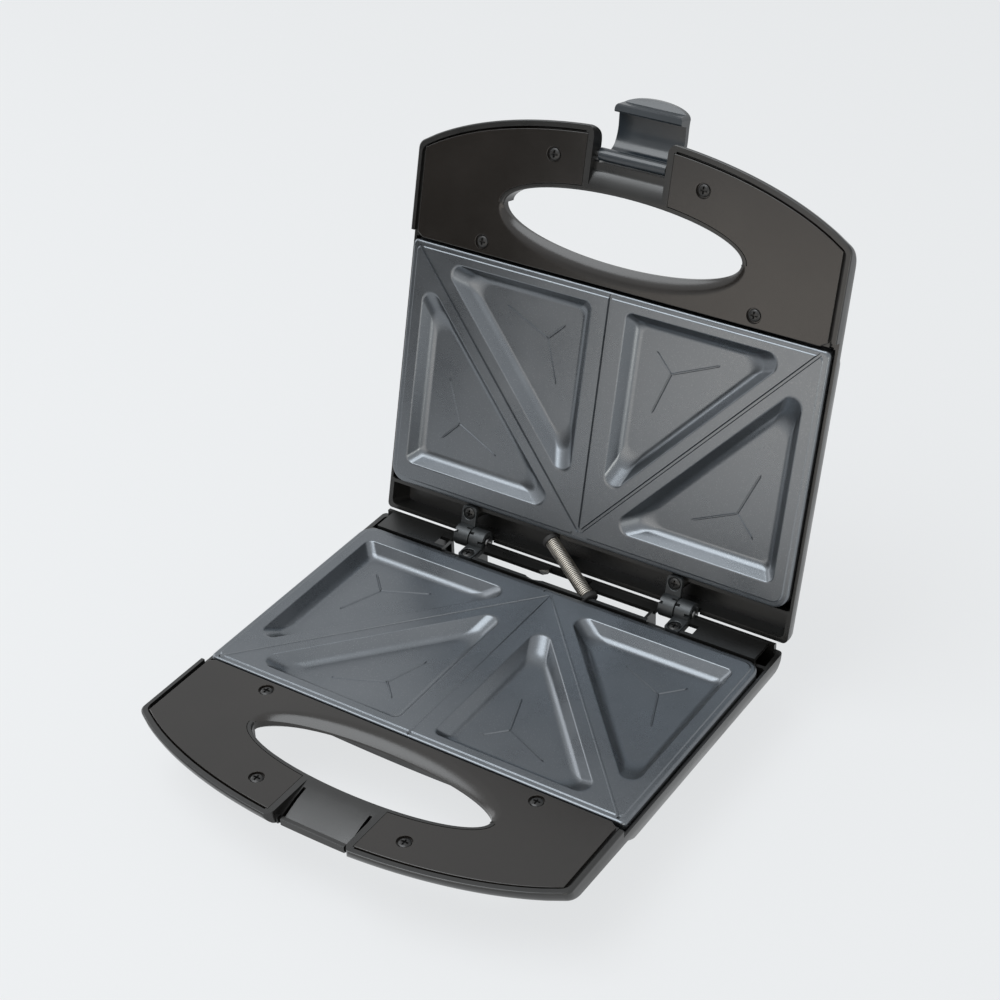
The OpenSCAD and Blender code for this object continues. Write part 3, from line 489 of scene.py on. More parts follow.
def outer_form():
    edge = [(0.7, 0), (0.45, 0.08), (0.2, 0.25), (0.05, 0.5), (0, 0.9)]
    rings = [at_depth(shell_outline(rim_gap + drop, inset), rim_gap + drop) for inset, drop in edge]
    rings += [at_depth(shell_outline(z), z) for z in shell_levels(12) if z > rim_gap + 1]
    return solid(rings)


def inner_form():
    rings = [at_depth(shell_outline(0, wall, 30, 4), -1)]
    rings += [at_depth(shell_outline(z, wall, 30, 4), z - wall) for z in shell_levels(5) if z > 5]
    return solid(rings)


def flared(outline_of, levels):
    """A cutting tool whose outline grows by the first value of each level at its second, a depth."""
    return solid([at_depth(outline_of(grow), z) for grow, z in levels])


def edge_levels(grow, soft, bottom):
    """Levels of a tool that leaves a rounded upper edge of about the size soft."""
    top = rim_gap
    return [
        (grow + soft, -1), (grow + soft, top), (grow + soft * 0.45, top + soft * 0.15),
        (grow + soft * 0.15, top + soft * 0.45), (grow, top + soft), (grow, bottom),
    ]


def half_plane(low_y, high_y):
    return slab(half_width + 5, low_y, high_y, -3, depth + 3)


def cover_outline(grow=0):
    """The outside of the handle cover: an arc at the front, straight sides and a straight back."""
    x = cover_x + grow
    back = cover_back_y + grow
    middle = -(handle_front - front_short)
    spread = [x * (k / 24 - 1) for k in range(49)]
    long_half, short_half = front_long - 4 + grow, front_short - 4 + grow
    points = [(t, middle - short_half * sqrt(1 - (t / long_half) ** 2)) for t in spread]
    return points + [(x, back - 2.1), (x - 3, back), (3 - x, back), (-x, back - 2.1)]


def house_half(tab_side, rim_end, cuts):
    """One half; its low rear rim reaches back to rim_end, and behind that the rear wall stands up."""
    hollow = cut(
        inner_form(),
        slab(half_width, cover_back_y - bulkhead, cover_back_y, cover_bottom, depth),
        slab(half_width, partition_y, trough_front_y, rim_step_z, trough_depth + 2),
        slab(half_width, partition_y, rear_wall_y, trough_depth, trough_depth + 2),
        prism(ellipse(collar + 1), 0, depth),
        clip(prism(ellipse(relief_wall), 0, depth), half_plane(grip_y, cover_back_y)),
        slab(notch_wall_x + 1, -handle_front, grip_y - grip_short, 0, handle_root_depth),
        *round_bars(cover_screw_spots, 4.2, cover_bottom, depth),
        *round_bars(plate_screw_spots, 5.5, 17.7, depth),
        *round_bars(tab_spots(tab_side), tab_boss, tab_bottom, 17.6),
    )
    ledge = cut(
        slab(half_width, -handle_front, cover_back_y, cover_bottom, cover_bottom + 3),
        prism(shell_outline(0, 6), 0, depth),
    )
    hollow = cut(hollow, ledge)
    housing = cut(outer_form(), hollow)
    cover_bed = cut(
        flared(cover_outline, edge_levels(cover_fit, 0.2, cover_bottom)),
        clip(prism(ellipse(collar), -2, depth), half_plane(-handle_front, grip_y)),
        slab(notch_wall_x, -handle_front - 9, grip_y, -2, depth),
    )
    rear_bed = clip(prism(ellipse(collar + cover_fit), -1, skirt_seat), half_plane(grip_y, 0))
    grip_edges = [
        (1.1, -1), (1.1, rim_gap), (0.5, rim_gap + 0.15), (0.15, rim_gap + 0.5), (0, rim_gap + 1.1),
        (0, depth + 1),
    ]
    relief = [(0.1, 4.2), (0.5, 5), (7.2, 10.2), (8.4, 12), (9, depth + 1)]
    relief = clip(flared(ellipse, relief), half_plane(grip_y, cover_back_y))
    housing = cut(
        housing,
        cover_bed,
        rear_bed,
        relief,
        flared(ellipse, grip_edges),
        slab(plate_x + bed_fit, plate_front_y - bed_fit, plate_rear_y + bed_fit, -1, bed_depth),
        *mirrored((cover_x + 0.2, -144, -1), (half_width + 1, 5, rim_step_z)),
        slab(half_width, plate_rear_y, rim_end, -1, tab_bottom),
        *round_bars(plate_screw_spots, screw_hole, 0, depth),
        *round_bars(plate_screw_spots, 3.5, depth - 5, depth + 1),
        *round_bars(cover_screw_spots, screw_hole, 0, 7.7),
        *round_bars(tab_spots(tab_side), screw_hole, 0, trough_depth - 3),
    )
    rims = cut(
        slab(half_width, plate_rear_y, rim_end, -1, rim_step_z),
        *round_bars(sorted(tab_spots(-1) + tab_spots(1)), tab_boss, -2, 8),
    )
    return cut(housing, rims, *hinge_rods(knuckle_room, 9.2), *cuts)


def profile_bar(points, half_length):
    """A bar along X whose (y, z) profile is given."""
    return solid([[(x, y, z) for y, z in points] for x in (-half_length, half_length)])


conduit_x = 16.5
conduit_y = -11.5
conduit_z = 3.2
bush_radius = 4.3


def conduit_seat(side):
    """Where a conduit bush stands in its half and which way it points; side is 1 in the base."""
    c, s = cos(open_angle), sin(open_angle)
    lid_seat = Vector((-conduit_x, conduit_y * c + conduit_z * s, conduit_z * c - conduit_y * s))
    run = lid_seat - Vector((conduit_x, conduit_y, -conduit_z))
    seat = Vector((side * conduit_x, conduit_y, conduit_z))
    if side > 0:
        return seat, unit((run.x, run.y, -run.z))
    return seat, -unit((run.x, run.y * c - run.z * s, run.y * s + run.z * c))


def bush_place(side):
    seat, way = conduit_seat(side)
    return Matrix.Translation(seat) @ way.to_track_quat("Z", "X").to_matrix().to_4x4()


def bush_way(side):
    """The sloping hole that a conduit bush sits in."""
    return rod(bush_radius + 0.05, -1, 13, bush_place(side))


catch_front = -208.6
catch_back = -205.6
ramp_start = grip_y - grip_short - collar
base_notch = [
    slab(notch_x, -handle_front - 1, catch_front, -1, depth),
    profile_bar([
        (ramp_start + 1, -1), (ramp_start + 1, rim_gap - 0.05), (ramp_start, rim_gap),
        (-196, 2.3), (catch_back, 5.6), (catch_back - 0.8, 4.3),
        (catch_front + 0.8, 4.1), (catch_front - 1, 4.6), (catch_front - 1, -1),
    ], notch_x),
    *mirrored((16.5, catch_front - 1, -1), (notch_x - 1, ramp_start - 4, 8)),
]
window = slab(70, rear_inside - 1, rear_wall_y + 1, rim_step_z, trough_depth)


def notch_corners():
    """Rounds the front ends of the two walls beside the latch."""
    tools = []
    for side in (-1, 1):
        low, high = sorted((side * (notch_x - 0.5), side * (notch_x + 5)))
        corner = block((low, -handle_front - 3, -1), (high, -handle_front + 5.6, depth))
        round_end = round_bar(side * (notch_x + 5), -handle_front + 5.6, 5, -2, depth + 1)
        tools.append(cut(corner, round_end))
    return tools


gland_way = Matrix.Translation((gland_x, 0, gland_z)) @ Matrix.Rotation(pi / 2, 4, "X")
gland_hole = rod(4.2, -4, 4, gland_way)
base_cuts = [*base_notch, *notch_corners(), window, gland_hole, bush_way(1)]
base_housing = house_half(1, rear_inside, base_cuts)
slot_front_y = trough_front_y + 0.2
slot_deep = slot_front_y + 6.5
slot_bottom = ledge_bottom + 1
ledge_half = 105
ledge = join(
    slab(ledge_half, partition_y, ledge_end_y, ledge_top, ledge_bottom),
    slab(ledge_half, partition_y, trough_front_y, ledge_top, trough_depth + 1),
    *mirrored((46.5, partition_y, ledge_top), (48, rear_inside - 3, trough_depth + 1)),
    *mirrored((72, partition_y, ledge_top), (74, ledge_end_y, trough_depth + 1)),
)
ledge = cut(
    ledge,
    slab(46.5, slot_front_y, slot_deep, 0, slot_bottom),
    *mirrored((48, slot_front_y, 0), (50, slot_deep, slot_bottom)),
    *mirrored((66.7, slot_front_y, 0), (72, slot_deep, slot_bottom)),
    slab(conduit_x - 5, rear_inside - 6.4, rear_inside, -1, slot_bottom),
    *hinge_rods(knuckle_room, 8.8),
    *mirrored((hinge_x - 8.8, plate_rear_y, -1), (hinge_x + 8.8, 1, tab_bottom))[::-1],
    *round_bars(tab_spots(1), screw_hole, 0, 12),
    bush_way(1),
    rod(4.8, -1, 13, Matrix.Scale(-1, 4, (0, 0, 1)) @ bush_place(-1)),
)
base_housing = join(base_housing, ledge)

lid_notch = [
    slab(notch_x, -handle_front - 1, -196.5, -1, depth),
    profile_bar([
        (-197.5, -1), (-197.5, 4), (-193.4, 4), (-192.8, 3.8), (-192, 2.8),
        (ramp_start, rim_gap), (ramp_start + 1, rim_gap - 0.05), (ramp_start + 1, -1),
    ], notch_x),
    rod(screw_hole, -21.4, 21.4, along_x(0, latch_y, latch_z)),
    *round_bars([(-lamp_x, lamp_y), (lamp_x, lamp_y)], lamp_radius + 0.1, depth - 6, depth + 2),
]
lid_housing = house_half(-1, 5, [*lid_notch, *notch_corners(), bush_way(-1)])


def effect(name, inputs, outputs):
    """A shader node group with named inputs and outputs, to be filled by its section."""
    group = bpy.data.node_groups.new(name, "ShaderNodeTree")
    for label, value in inputs.items():
        socket = group.interface.new_socket(label, in_out="INPUT", socket_type="NodeSocketFloat")
        socket.default_value = value
    for label in outputs:
        group.interface.new_socket(label, in_out="OUTPUT", socket_type="NodeSocketFloat")
    return group, group.nodes.new("NodeGroupInput"), group.nodes.new("NodeGroupOutput")


mould_grain, given, made = effect(
    "mould_grain", {"Size": 0.0003, "Spread": 60.0, "Low": 0.3, "High": 0.45},
    ("Value", "Height", "Patches"),
)
where = shader(mould_grain, "TexCoord")
rate = shader(mould_grain, "Math", {0: 1}, operation="DIVIDE")
slow_rate = shader(mould_grain, "Math", operation="DIVIDE")
fine = shader(mould_grain, "TexNoise", {"Detail": 3})
broad = shader(mould_grain, "TexNoise", {"Detail": 4})
mixed = shader(mould_grain, "Math", {1: 0.3}, operation="MULTIPLY_ADD")
part = shader(mould_grain, "Math", {1: 0.7}, operation="MULTIPLY")
span = shader(mould_grain, "MapRange", {"From Min": 0.35, "From Max": 0.65})
wire(
    mould_grain,
    (given, "Size", rate, 1), (rate, 0, slow_rate, 0), (given, "Spread", slow_rate, 1),
    (where, "Object", fine, "Vector"), (where, "Object", broad, "Vector"),
    (rate, 0, fine, "Scale"), (slow_rate, 0, broad, "Scale"),
    (fine, 0, mixed, 0), (broad, 0, part, 0), (part, 0, mixed, 2), (mixed, 0, span, "Value"),
    (given, "Low", span, "To Min"), (given, "High", span, "To Max"),
    (span, 0, made, "Value"), (fine, 0, made, "Height"), (broad, 0, made, "Patches"),
)


def grained(name, dark, light, grain, spread, low, high, relief, ior=1.5, metallic=0.0):
    """A finish with a fine grain, patches of slightly different colour and uneven gloss. It is kept
    by its name, and its node tree and skin are given back."""
    material = bpy.data.materials.new(name)
    material.use_nodes = True
    tree = material.node_tree
    skin = tree.nodes["Principled BSDF"]
    skin.inputs["IOR"].default_value = ior
    skin.inputs["Metallic"].default_value = metallic
    grain_values = {"Size": grain, "Spread": spread, "Low": low, "High": high}
    texture = shader(tree, "Group", grain_values, node_tree=mould_grain)
    tones = {6: (*dark, 1), 7: (*light, 1)}
    tone = shader(tree, "Mix", tones, data_type="RGBA")
    bump = shader(tree, "Bump", {"Strength": 1, "Distance": relief})
    wire(
        tree,
        (texture, "Patches", tone, 0), (tone, 2, skin, "Base Color"),
        (texture, "Value", skin, "Roughness"), (texture, "Height", bump, "Height"),
        (bump, "Normal", skin, "Normal"),
    )
    finishes[name] = material
    return tree, skin


grained(
    "housing_plastic", (0.006, 0.006, 0.006), (0.012, 0.012, 0.011),
    0.0003, 70, 0.26, 0.36, 0.000008, 1.6,
)
finished(base_housing, "base_shell", "base", "housing_plastic", "base_housing")
finished(lid_housing, "lid_shell", "lid", "housing_plastic", "lid_housing")


# ---- Feet ----------------------------------------------------
# Four soft black rubber rings, pressed into the floor of the base. Each is turned, with a
# rounded wall and a hollow middle, and a little mould dust dulls it.
grained("rubber", (0.011, 0.011, 0.011), (0.022, 0.021, 0.02), 0.0006, 20, 0.62, 0.8, 0.00003)
foot_profile = [
    (0.05, 0), (7.4, 0), (7.7, 0.6), (8, 2.2), (7.9, 3.9), (7.5, 4.7), (6.9, 5), (4.9, 5),
    (4.3, 4.8), (4, 4.3), (3.9, 3.1), (0.05, 3),
]
for end, foot_y in (("front", -114), ("rear", -23.2)):
    for side, foot_x in (("left", -72), ("right", 72)):
        foot = turned(foot_profile, Matrix.Translation((foot_x, foot_y, depth)), closed=True)
        node = f"foot_{end}_{side}"
        finished(foot, f"rubber_{node}", "base", "rubber", node, crease=50)


# ---- Heaters and wiring --------------------------------------
# Behind each plate a U-shaped tubular element with a steel sheath lies in a pressed reflector.
# The base also holds the thermostat, a thermal fuse and the terminal block. They are bought-in
# parts, clamped or screwed down, and are out of sight in the finished toaster.
grained(
    "element_sheath", (0.16, 0.13, 0.1), (0.3, 0.26, 0.24),
    0.0005, 30, 0.3, 0.5, 0.00001, metallic=1.0,
)
grained(
    "reflector_sheet", (0.62, 0.62, 0.62), (0.75, 0.75, 0.75), 0.0008, 30, 0.18, 0.32, 0.00001,
    metallic=1.0,
)
grained("ceramic", (0.62, 0.6, 0.53), (0.72, 0.7, 0.63), 0.0004, 20, 0.5, 0.65, 0.00001)


# ---- Plates --------------------------------------------------
# Two die-cast aluminium plates with a satin slate-grey non-stick coating. Four triangular pockets
# have steep upper walls that run out softly into the floor. The base plate has raised cutting
# lines, and the lid plate has the grooves that they close into.
plate_top = 0.5
plate_under = 3
plate_skirt_end = 8
pocket_drop = 6.1
wall_tilt = radians(53)
lip_radius = 0.9
floor_radius = 5
pocket_tip = 5.4
pocket_square = 3.6
diagonal_bar = 6
middle_bar = 9
side_rim = 8.5
rear_rim = 11.2
front_rim = 7
meeting = Vector((0, plate_rear_y - 4.7))
diagonal = unit(Vector((plate_x - 3.7, -118.2)))
across = Vector((-diagonal.y, diagonal.x))


def diagonal_at_x(x, shift):
    start = meeting + shift * across
    return Vector((x, start.y + diagonal.y * (x - start.x) / diagonal.x))


def diagonal_at_y(y, shift):
    start = meeting + shift * across
    return Vector((start.x + diagonal.x * (y - start.y) / diagonal.y, y))


def pocket(x, y, shift):
    """A triangle with its right angle at (x, y), its long side along a diagonal bar."""
    corners = [(x, y), diagonal_at_y(y, shift), diagonal_at_x(x, shift)]
    return rounded(corners, [pocket_square, pocket_tip, pocket_tip], 10)


def outer_pocket(inset):
    return pocket(plate_x - side_rim - inset, plate_rear_y - rear_rim - inset, diagonal_bar + inset)


def inner_pocket(inset):
    return pocket(middle_bar + inset, plate_front_y + front_rim + inset, -diagonal_bar - inset)


def pocket_levels(steps=6):
    """From the lip down to the floor: a small lip radius, a straight slope and a wide fillet."""
    levels = [(-0.35, -1)]
    for k in range(steps + 1):
        t = wall_tilt * k / steps
        levels.append((-0.35 + lip_radius * sin(t), 0.01 + lip_radius * (1 - cos(t))))
    straight = pocket_drop - (lip_radius + floor_radius) * (1 - cos(wall_tilt))
    inset, deep = levels[-1]
    inset, deep = inset + straight / tan(wall_tilt), deep + straight
    for k in range(2 * steps + 1):
        t = wall_tilt * (1 - k / (2 * steps))
        levels.append((
            inset + floor_radius * (sin(wall_tilt) - sin(t)),
            deep + floor_radius * (cos(t) - cos(wall_tilt)),
        ))
    return [(i, plate_top + d) for i, d in levels]


def pocket_tools(levels):
    tools = []
    for outline in (outer_pocket, inner_pocket):
        tools.append(flared(outline, levels))
        tools.append(flared(lambda inset, outline=outline: mirror_x(outline(inset)), levels))
    return tools


def plate_outline(inset):
    x, back, front = plate_x - inset, plate_rear_y - inset, plate_front_y + inset
    rear_radius = max(2, 8 - inset)
    corners = [(x, back), (-x, back), (-x, front), (x, front)]
    return rounded(corners, [rear_radius, rear_radius, 2.6, 2.6], 8)


def bar(start, end, wide, narrow, low, high, taper):
    """A straight rib or groove tool with pointed ends: wide at depth low, narrow at depth high."""
    start, end = Vector(start), Vector(end)
    along = unit(end - start)
    aside = Vector((-along.y, along.x))
    near, far = start + along * taper, end - along * taper
    rings = []
    for width, z in ((wide, low), (narrow, high)):
        half = aside * width / 2
        rings.append(at_depth([start, near + half, far + half, end, far - half, near - half], z))
    return solid(rings)


def floor_creases():
    """The three-armed ribs on the pocket floors, from their middles toward the pocket corners."""
    outer, inner = Vector((76.5, -52.5)), Vector((33.2, -108))
    arms = [(outer, (9.5, 10)), (outer, (-22.5, 10.2)), (outer, (8.5, -21.5))]
    arms += [(inner, (23.8, -10.4)), (inner, (-8.7, -8.8)), (inner, (-7.2, 21))]
    floor_z = plate_top + pocket_drop
    for middle, arm in arms:
        for side in (1, -1):
            start = Vector((side * middle.x, middle.y))
            end = Vector((side * (middle.x + arm[0]), middle.y + arm[1]))
            start = start - 0.6 * unit(end - start)
            yield bar(start, end, 1.7, 0.35, floor_z + 0.4, floor_z - 0.5, 1.6)


def cutting_lines(wide, narrow, low, high):
    end_y = plate_front_y + 0.8
    yield bar(meeting, (0, end_y), wide, narrow, low, high, 0.6)
    for side in (1, -1):
        end = diagonal_at_y(plate_front_y + 1.6, 0)
        yield bar(meeting, (side * end.x, end.y), wide, narrow, low, high, 0.6)


def cast_plate():
    edge = [
        (3.4, 0.5), (3.15, 0.54), (2.95, 0.66), (2.82, 0.84), (2.6, 0.93), (1.5, 0.97), (0.95, 1.03),
        (0.55, 1.2), (0.24, 1.5), (0.06, 1.9), (0, 2.4), (0, 7.4), (0.25, 7.85), (0.6, 8),
    ]
    plate = flared(plate_outline, edge)
    plate = cut(plate, prism(plate_outline(2.4), plate_under, plate_skirt_end + 1))
    backs = [(-2, plate_top + 1), (5.5, plate_top + pocket_drop + 2.5)]
    plate = join(
        plate,
        *pocket_tools(backs),
        *round_bars(plate_screw_spots, 4.2, 1.5, 15.7),
    )
    plate = cut(
        plate,
        *pocket_tools(pocket_levels()),
        *round_bars(plate_screw_spots, screw_hole, 4, 17),
        slab(4.5, plate_rear_y - 4.2, plate_rear_y - 2.2, -1, 1.2),
        slab(1.2, plate_rear_y - 6.5, plate_rear_y - 2.2, -1, 1.2),
    )
    return join(plate, *floor_creases())


speckle, given, made = effect("speckle", {"Size": 0.0004, "Share": 0.1}, ("Mask",))
where = shader(speckle, "TexCoord")
rate = shader(speckle, "Math", {0: 1}, operation="DIVIDE")
cells = shader(speckle, "TexVoronoi")
chance = shader(speckle, "SeparateColor")
rare = shader(speckle, "Math", operation="LESS_THAN")
near = shader(speckle, "MapRange", {"From Min": 0.45, "From Max": 0.2})
dot = shader(speckle, "Math", operation="MULTIPLY")
wire(
    speckle,
    (given, "Size", rate, 1), (where, "Object", cells, "Vector"), (rate, 0, cells, "Scale"),
    (cells, "Color", chance, 0), (chance, 0, rare, 0), (given, "Share", rare, 1),
    (cells, "Distance", near, "Value"), (rare, 0, dot, 0), (near, 0, dot, 1),
    (dot, 0, made, "Mask"),
)

tree, skin = grained(
    "nonstick_coating", (0.145, 0.158, 0.172), (0.185, 0.198, 0.212), 0.00035, 90, 0.25, 0.33, 0.000012,
    1.5, 0.93,
)
speck_values = {"Size": 0.0004, "Share": 0.14}
specks = shader(tree, "Group", speck_values, node_tree=speckle)
coating = shader(tree, "Mix", {7: (0.27, 0.28, 0.29, 1)}, data_type="RGBA")
tree.links.new(skin.inputs["Base Color"].links[0].from_socket, coating.inputs[6])
wire(tree, (specks, "Mask", coating, 0), (coating, 2, skin, "Base Color"))

base_plate = join(cast_plate(), *cutting_lines(1.9, 0.6, plate_top + 0.6, plate_top - 0.42))
lid_plate = cut(cast_plate(), *cutting_lines(2.2, 1.0, plate_top - 0.15, plate_top + 0.95))
finished(base_plate, "base_grill_plate", "base", "nonstick_coating", "base_plate")
finished(lid_plate, "lid_grill_plate", "lid", "nonstick_coating", "lid_plate")


# ---- Handle covers -------------------------------------------
# A glossy black moulded cover closes each half of the handle. It is set into the rim of the
# housing, and behind the grip opening it rolls down into the opening and ends in a skirt.
roll_width = 6.6
roll_drop = 3
skirt_end = 4.5
cover_top = 0.4


def roll_at(turn):
    """How far the rolled edge reaches out from the grip opening, and how far it drops into it."""
    share = max(0, sin(turn))
    return collar + cover_fit + roll_width * share ** 0.9, roll_drop * share ** 0.6


def rear_edge(turn):
    """A point of the rear half of the grip opening, and the way that leads out from there."""
    x, y = cos(turn), sin(turn)
    return Vector((grip_long * x, grip_y + rear_short * y)), unit((x / grip_long, y / rear_short))


def roll_outline():
    rear = []
    for turn in [pi * k / 48 for k in range(49)]:
        point, outward = rear_edge(turn)
        rear.append(point + outward * roll_at(turn)[0])
    return rear + [Vector((-grip_long, grip_y - 4)), Vector((grip_long, grip_y - 4))]


def rolled_edge(steps=64, arc_steps=14):
    """The rolled band: one cross-section at each step round the rear half of the opening."""
    rings = []
    for turn in [pi * k / steps for k in range(steps + 1)]:
        point, outward = rear_edge(turn)
        reach, drop = roll_at(turn)
        arc = [j / arc_steps for j in range(arc_steps + 1)]
        section = [(reach * (1 - t), cover_top + drop * t ** 2.3) for t in arc]
        section += [(0, skirt_end), (collar, skirt_end), (collar, cover_bottom), (reach, cover_bottom)]
        section.append((reach, cover_bottom - 0.3))
        rings.append([(*(point + outward * out), z) for out, z in section])
    return solid(rings)


def handle_cover():
    edge = [(-0.45, 0.4), (-0.25, 0.44), (-0.1, 0.54), (-0.02, 0.7), (0, 0.9), (0, cover_bottom)]
    cover = flared(cover_outline, edge)
    front_collar = flared(ellipse, edge_levels(collar + cover_fit, 0.3, depth))
    cover = cut(
        cover,
        clip(front_collar, half_plane(-handle_front, grip_y)),
        prism(roll_outline(), -1, depth),
        slab(notch_wall_x + 0.2, -handle_front - 5, grip_y - 2, -1, depth),
    )
    cover = join(cover, rolled_edge())
    recess = [(3.9, -1), (3.9, 0.4), (3.62, 0.46), (3.5, 0.7), (3.5, 1.6)]
    for x, y in cover_screw_spots:
        spot = Matrix.Translation((x, y, 0))
        cover = cut(cover, turned(recess, spot), rod(1.7, 0, 5, spot))
    return cover


grained(
    "cover_plastic", (0.011, 0.0095, 0.008), (0.02, 0.0165, 0.014),
    0.0012, 40, 0.17, 0.25, 0.000004, 1.55,
)
for half in ("base", "lid"):
    finished(handle_cover(), f"{half}_grip_cover", half, "cover_plastic", f"{half}_handle_cover")


# ---- Screws --------------------------------------------------
# Black-finished steel screws with crowned cross heads. Four hold each cover down, one holds each
# hinge tab, and two long ones come from outside through each housing into the plate.
grained(
    "screw_steel", (0.012, 0.012, 0.012), (0.03, 0.029, 0.028),
    0.0005, 12, 0.26, 0.42, 0.00001, 1.6, 0.35,
)


def cross_screw(x, y, head, top, bottom, radius, down=1):
    """A pan-head screw at (x, y): its crown is at depth head, its shank runs from there to bottom."""
    rise = abs(top - head)
    crown = [
        (0.05, 0), (radius * 0.45, 0.03 * rise), (radius * 0.75, 0.18 * rise),
        (radius * 0.93, 0.5 * rise), (radius, rise), (1.5, rise), (1.5, abs(bottom - head)),
        (0.05, abs(bottom - head)),
    ]
    screw = turned([(r, head + down * h) for r, h in crown], Matrix.Translation((x, y, 0)), steps=40)
    arms = []
    for quarter in (0, 1):
        arm_long, arm_wide = radius * 0.62, radius * 0.15
        rings = []
        for shrink, deep in ((1.25, -0.2), (1, 0.1), (0.6, 0.8 * rise + 0.2)):
            half_long, half_wide = arm_long * shrink, arm_wide * shrink
            if quarter:
                half_long, half_wide = half_wide, half_long
            corners = ((-1, -1), (1, -1), (1, 1), (-1, 1))
            spots = [(x + sx * half_long, y + sy * half_wide) for sx, sy in corners]
            rings.append(at_depth(spots, head + down * deep))
        arms.append(solid(rings))
    return cut(screw, *arms)


cover_screw = {"head": 0.55, "top": 1.6, "bottom": 7.2, "radius": 3}
plate_screw = {"head": 30.4, "top": 28, "bottom": 5, "radius": 3, "down": -1}
for half in ("base", "lid"):
    for (x, y), spot in zip(cover_screw_spots, ("front_left", "front_right", "rear_left", "rear_right")):
        node = f"{half}_cover_screw_{spot}"
        finished(cross_screw(x, y, **cover_screw), f"head_{node}", half, "screw_steel", node)
    for (x, y), side in zip(plate_screw_spots, ("left", "right")):
        node = f"{half}_plate_screw_{side}"
        screw = cross_screw(x, y, **plate_screw)
        finished(screw, f"head_{node}", half, "screw_steel", node)


# ---- Hinges --------------------------------------------------
# Each hinge is two pressed steel leaves on a headed pin. A leaf is a screwed-down tab whose end is
# rolled into a knuckle, so a seam and a small relief slot show beside the pin.
knuckle_width = 8.2
knuckle_radius = 5.5
pin_radius = 1.5
grained(
    "hinge_metal", (0.03, 0.033, 0.035), (0.065, 0.07, 0.073),
    0.0005, 15, 0.3, 0.46, 0.00002, 1.6, 0.55,
)
grained(
    "pin_steel", (0.14, 0.14, 0.14), (0.22, 0.22, 0.22),
    0.0004, 20, 0.28, 0.4, 0.00001, metallic=1.0,
)


def hinge_leaf(x, side):
    middle = x + side * tab_offset
    half = knuckle_width / 2
    edge = [(0.05, 0.5), (3.6, 0.5), (3.9, 0), (5, 0), (5.35, 0.15), (knuckle_radius, 0.5)]
    barrel = [(r, -half + h) for r, h in edge] + [(r, half - h) for r, h in reversed(edge)]
    knuckle = turned(barrel, along_x(middle), steps=56)
    tab_end = tab_screw_y - 3.7
    tab_plan = rounded(
        [(middle + half, 0), (middle - half, 0), (middle - half, tab_end), (middle + half, tab_end)],
        [0.3, 0.3, 1.8, 1.8], 6,
    )
    flat = flared(
        lambda grow: [(middle + (p[0] - middle) * (1 + grow / half), p[1]) for p in tab_plan],
        [(-0.3, 0.6), (-0.08, 0.68), (0, 0.9), (0, tab_bottom)],
    )
    leaf = join(knuckle, flat)
    recess = Matrix.Translation((middle, tab_screw_y, 0))
    return cut(
        leaf,
        rod(pin_radius + 0.05, -half - 1, half + 1, along_x(middle)),
        turned([(3.5, -1), (3.5, 0.62), (3.3, 0.8), (3.3, 1.8)], recess),
        rod(screw_hole, 0, 4, recess),
        block((middle - half - 1, -3.4, -7), (middle - half + 2.2, -2.2, -2.2)),
        block((middle + half - 2.6, -6.5, -2.6), (middle + half + 1, -1.6, -1.2)),
    )


tab_screw = {"head": 0.55, "top": 1.8, "bottom": 11, "radius": 2.9}
hinge_spots = ((-hinge_x, "left"), (hinge_x, "right"))
for half, side in (("base", 1), ("lid", -1)):
    for x, spot in hinge_spots:
        node = f"{half}_hinge_leaf_{spot}"
        finished(hinge_leaf(x, side), f"rolled_{node}", half, "hinge_metal", node)
        node = f"{half}_hinge_screw_{spot}"
        screw = cross_screw(x + side * tab_offset, tab_screw_y, **tab_screw)
        finished(screw, f"head_{node}", half, "screw_steel", node)
reach = knuckle_width + 0.2
pin_head = [(0.05, 1), (1.6, 0.95), (2.2, 0.7), (2.4, 0.2), (pin_radius, 0.2)]
pin_profile = [(r, -reach - h) for r, h in pin_head] + [(r, reach + h) for r, h in reversed(pin_head)]
for x, spot in hinge_spots:
    node = f"hinge_pin_{spot}"
    finished(turned(pin_profile, along_x(x), steps=32), f"headed_{node}", "base", "pin_steel", node)


# ---- Spring conduit ------------------------------------------
# Bright spring wire, wound close round a dark sleeve, carries the lid's two wires across the
# hinge. Its ends sit in tilted rubber bushes, one in each half.
conduit_radius = 3.5
coil_wire = 0.74
coil_pitch = 0.96
bush_length = 2.4
bush_wall = 0.8
grained(
    "spring_steel", (0.42, 0.39, 0.35), (0.58, 0.55, 0.5),
    0.0003, 15, 0.34, 0.46, 0.000008, metallic=1.0,
)
bush_profile = [
    (2, 0), (bush_radius - 0.3, 0), (bush_radius, 0.3), (bush_radius, bush_length - 0.35),
    (bush_radius - 0.12, bush_length - 0.1), (bush_radius - 0.3, bush_length),
    (bush_radius - bush_wall + 0.25, bush_length - 0.1),
    (bush_radius - bush_wall + 0.1, bush_length - 0.5), (bush_radius - bush_wall, bush_wall),
    (2, bush_wall),
]
for half, side in (("base", 1), ("lid", -1)):
    node = f"{half}_conduit_bush"
    bush = turned(bush_profile, bush_place(side), closed=True, steps=56)
    finished(bush, f"rubber_{node}", half, "rubber", node)

base_end = base_place @ conduit_seat(1)[0]
lid_end = lid_place @ conduit_seat(-1)[0]
coil_axis = unit(lid_end - base_end)
coil_side = unit(coil_axis.cross(Vector((0, 0, 1))))
coil_up = coil_axis.cross(coil_side)


def ring_round(centre, outward, forward, radius, sides):
    third = forward.cross(outward)
    turns = [tau * k / sides for k in range(sides)]
    return [centre + radius * (outward * cos(t) + third * sin(t)) for t in turns]


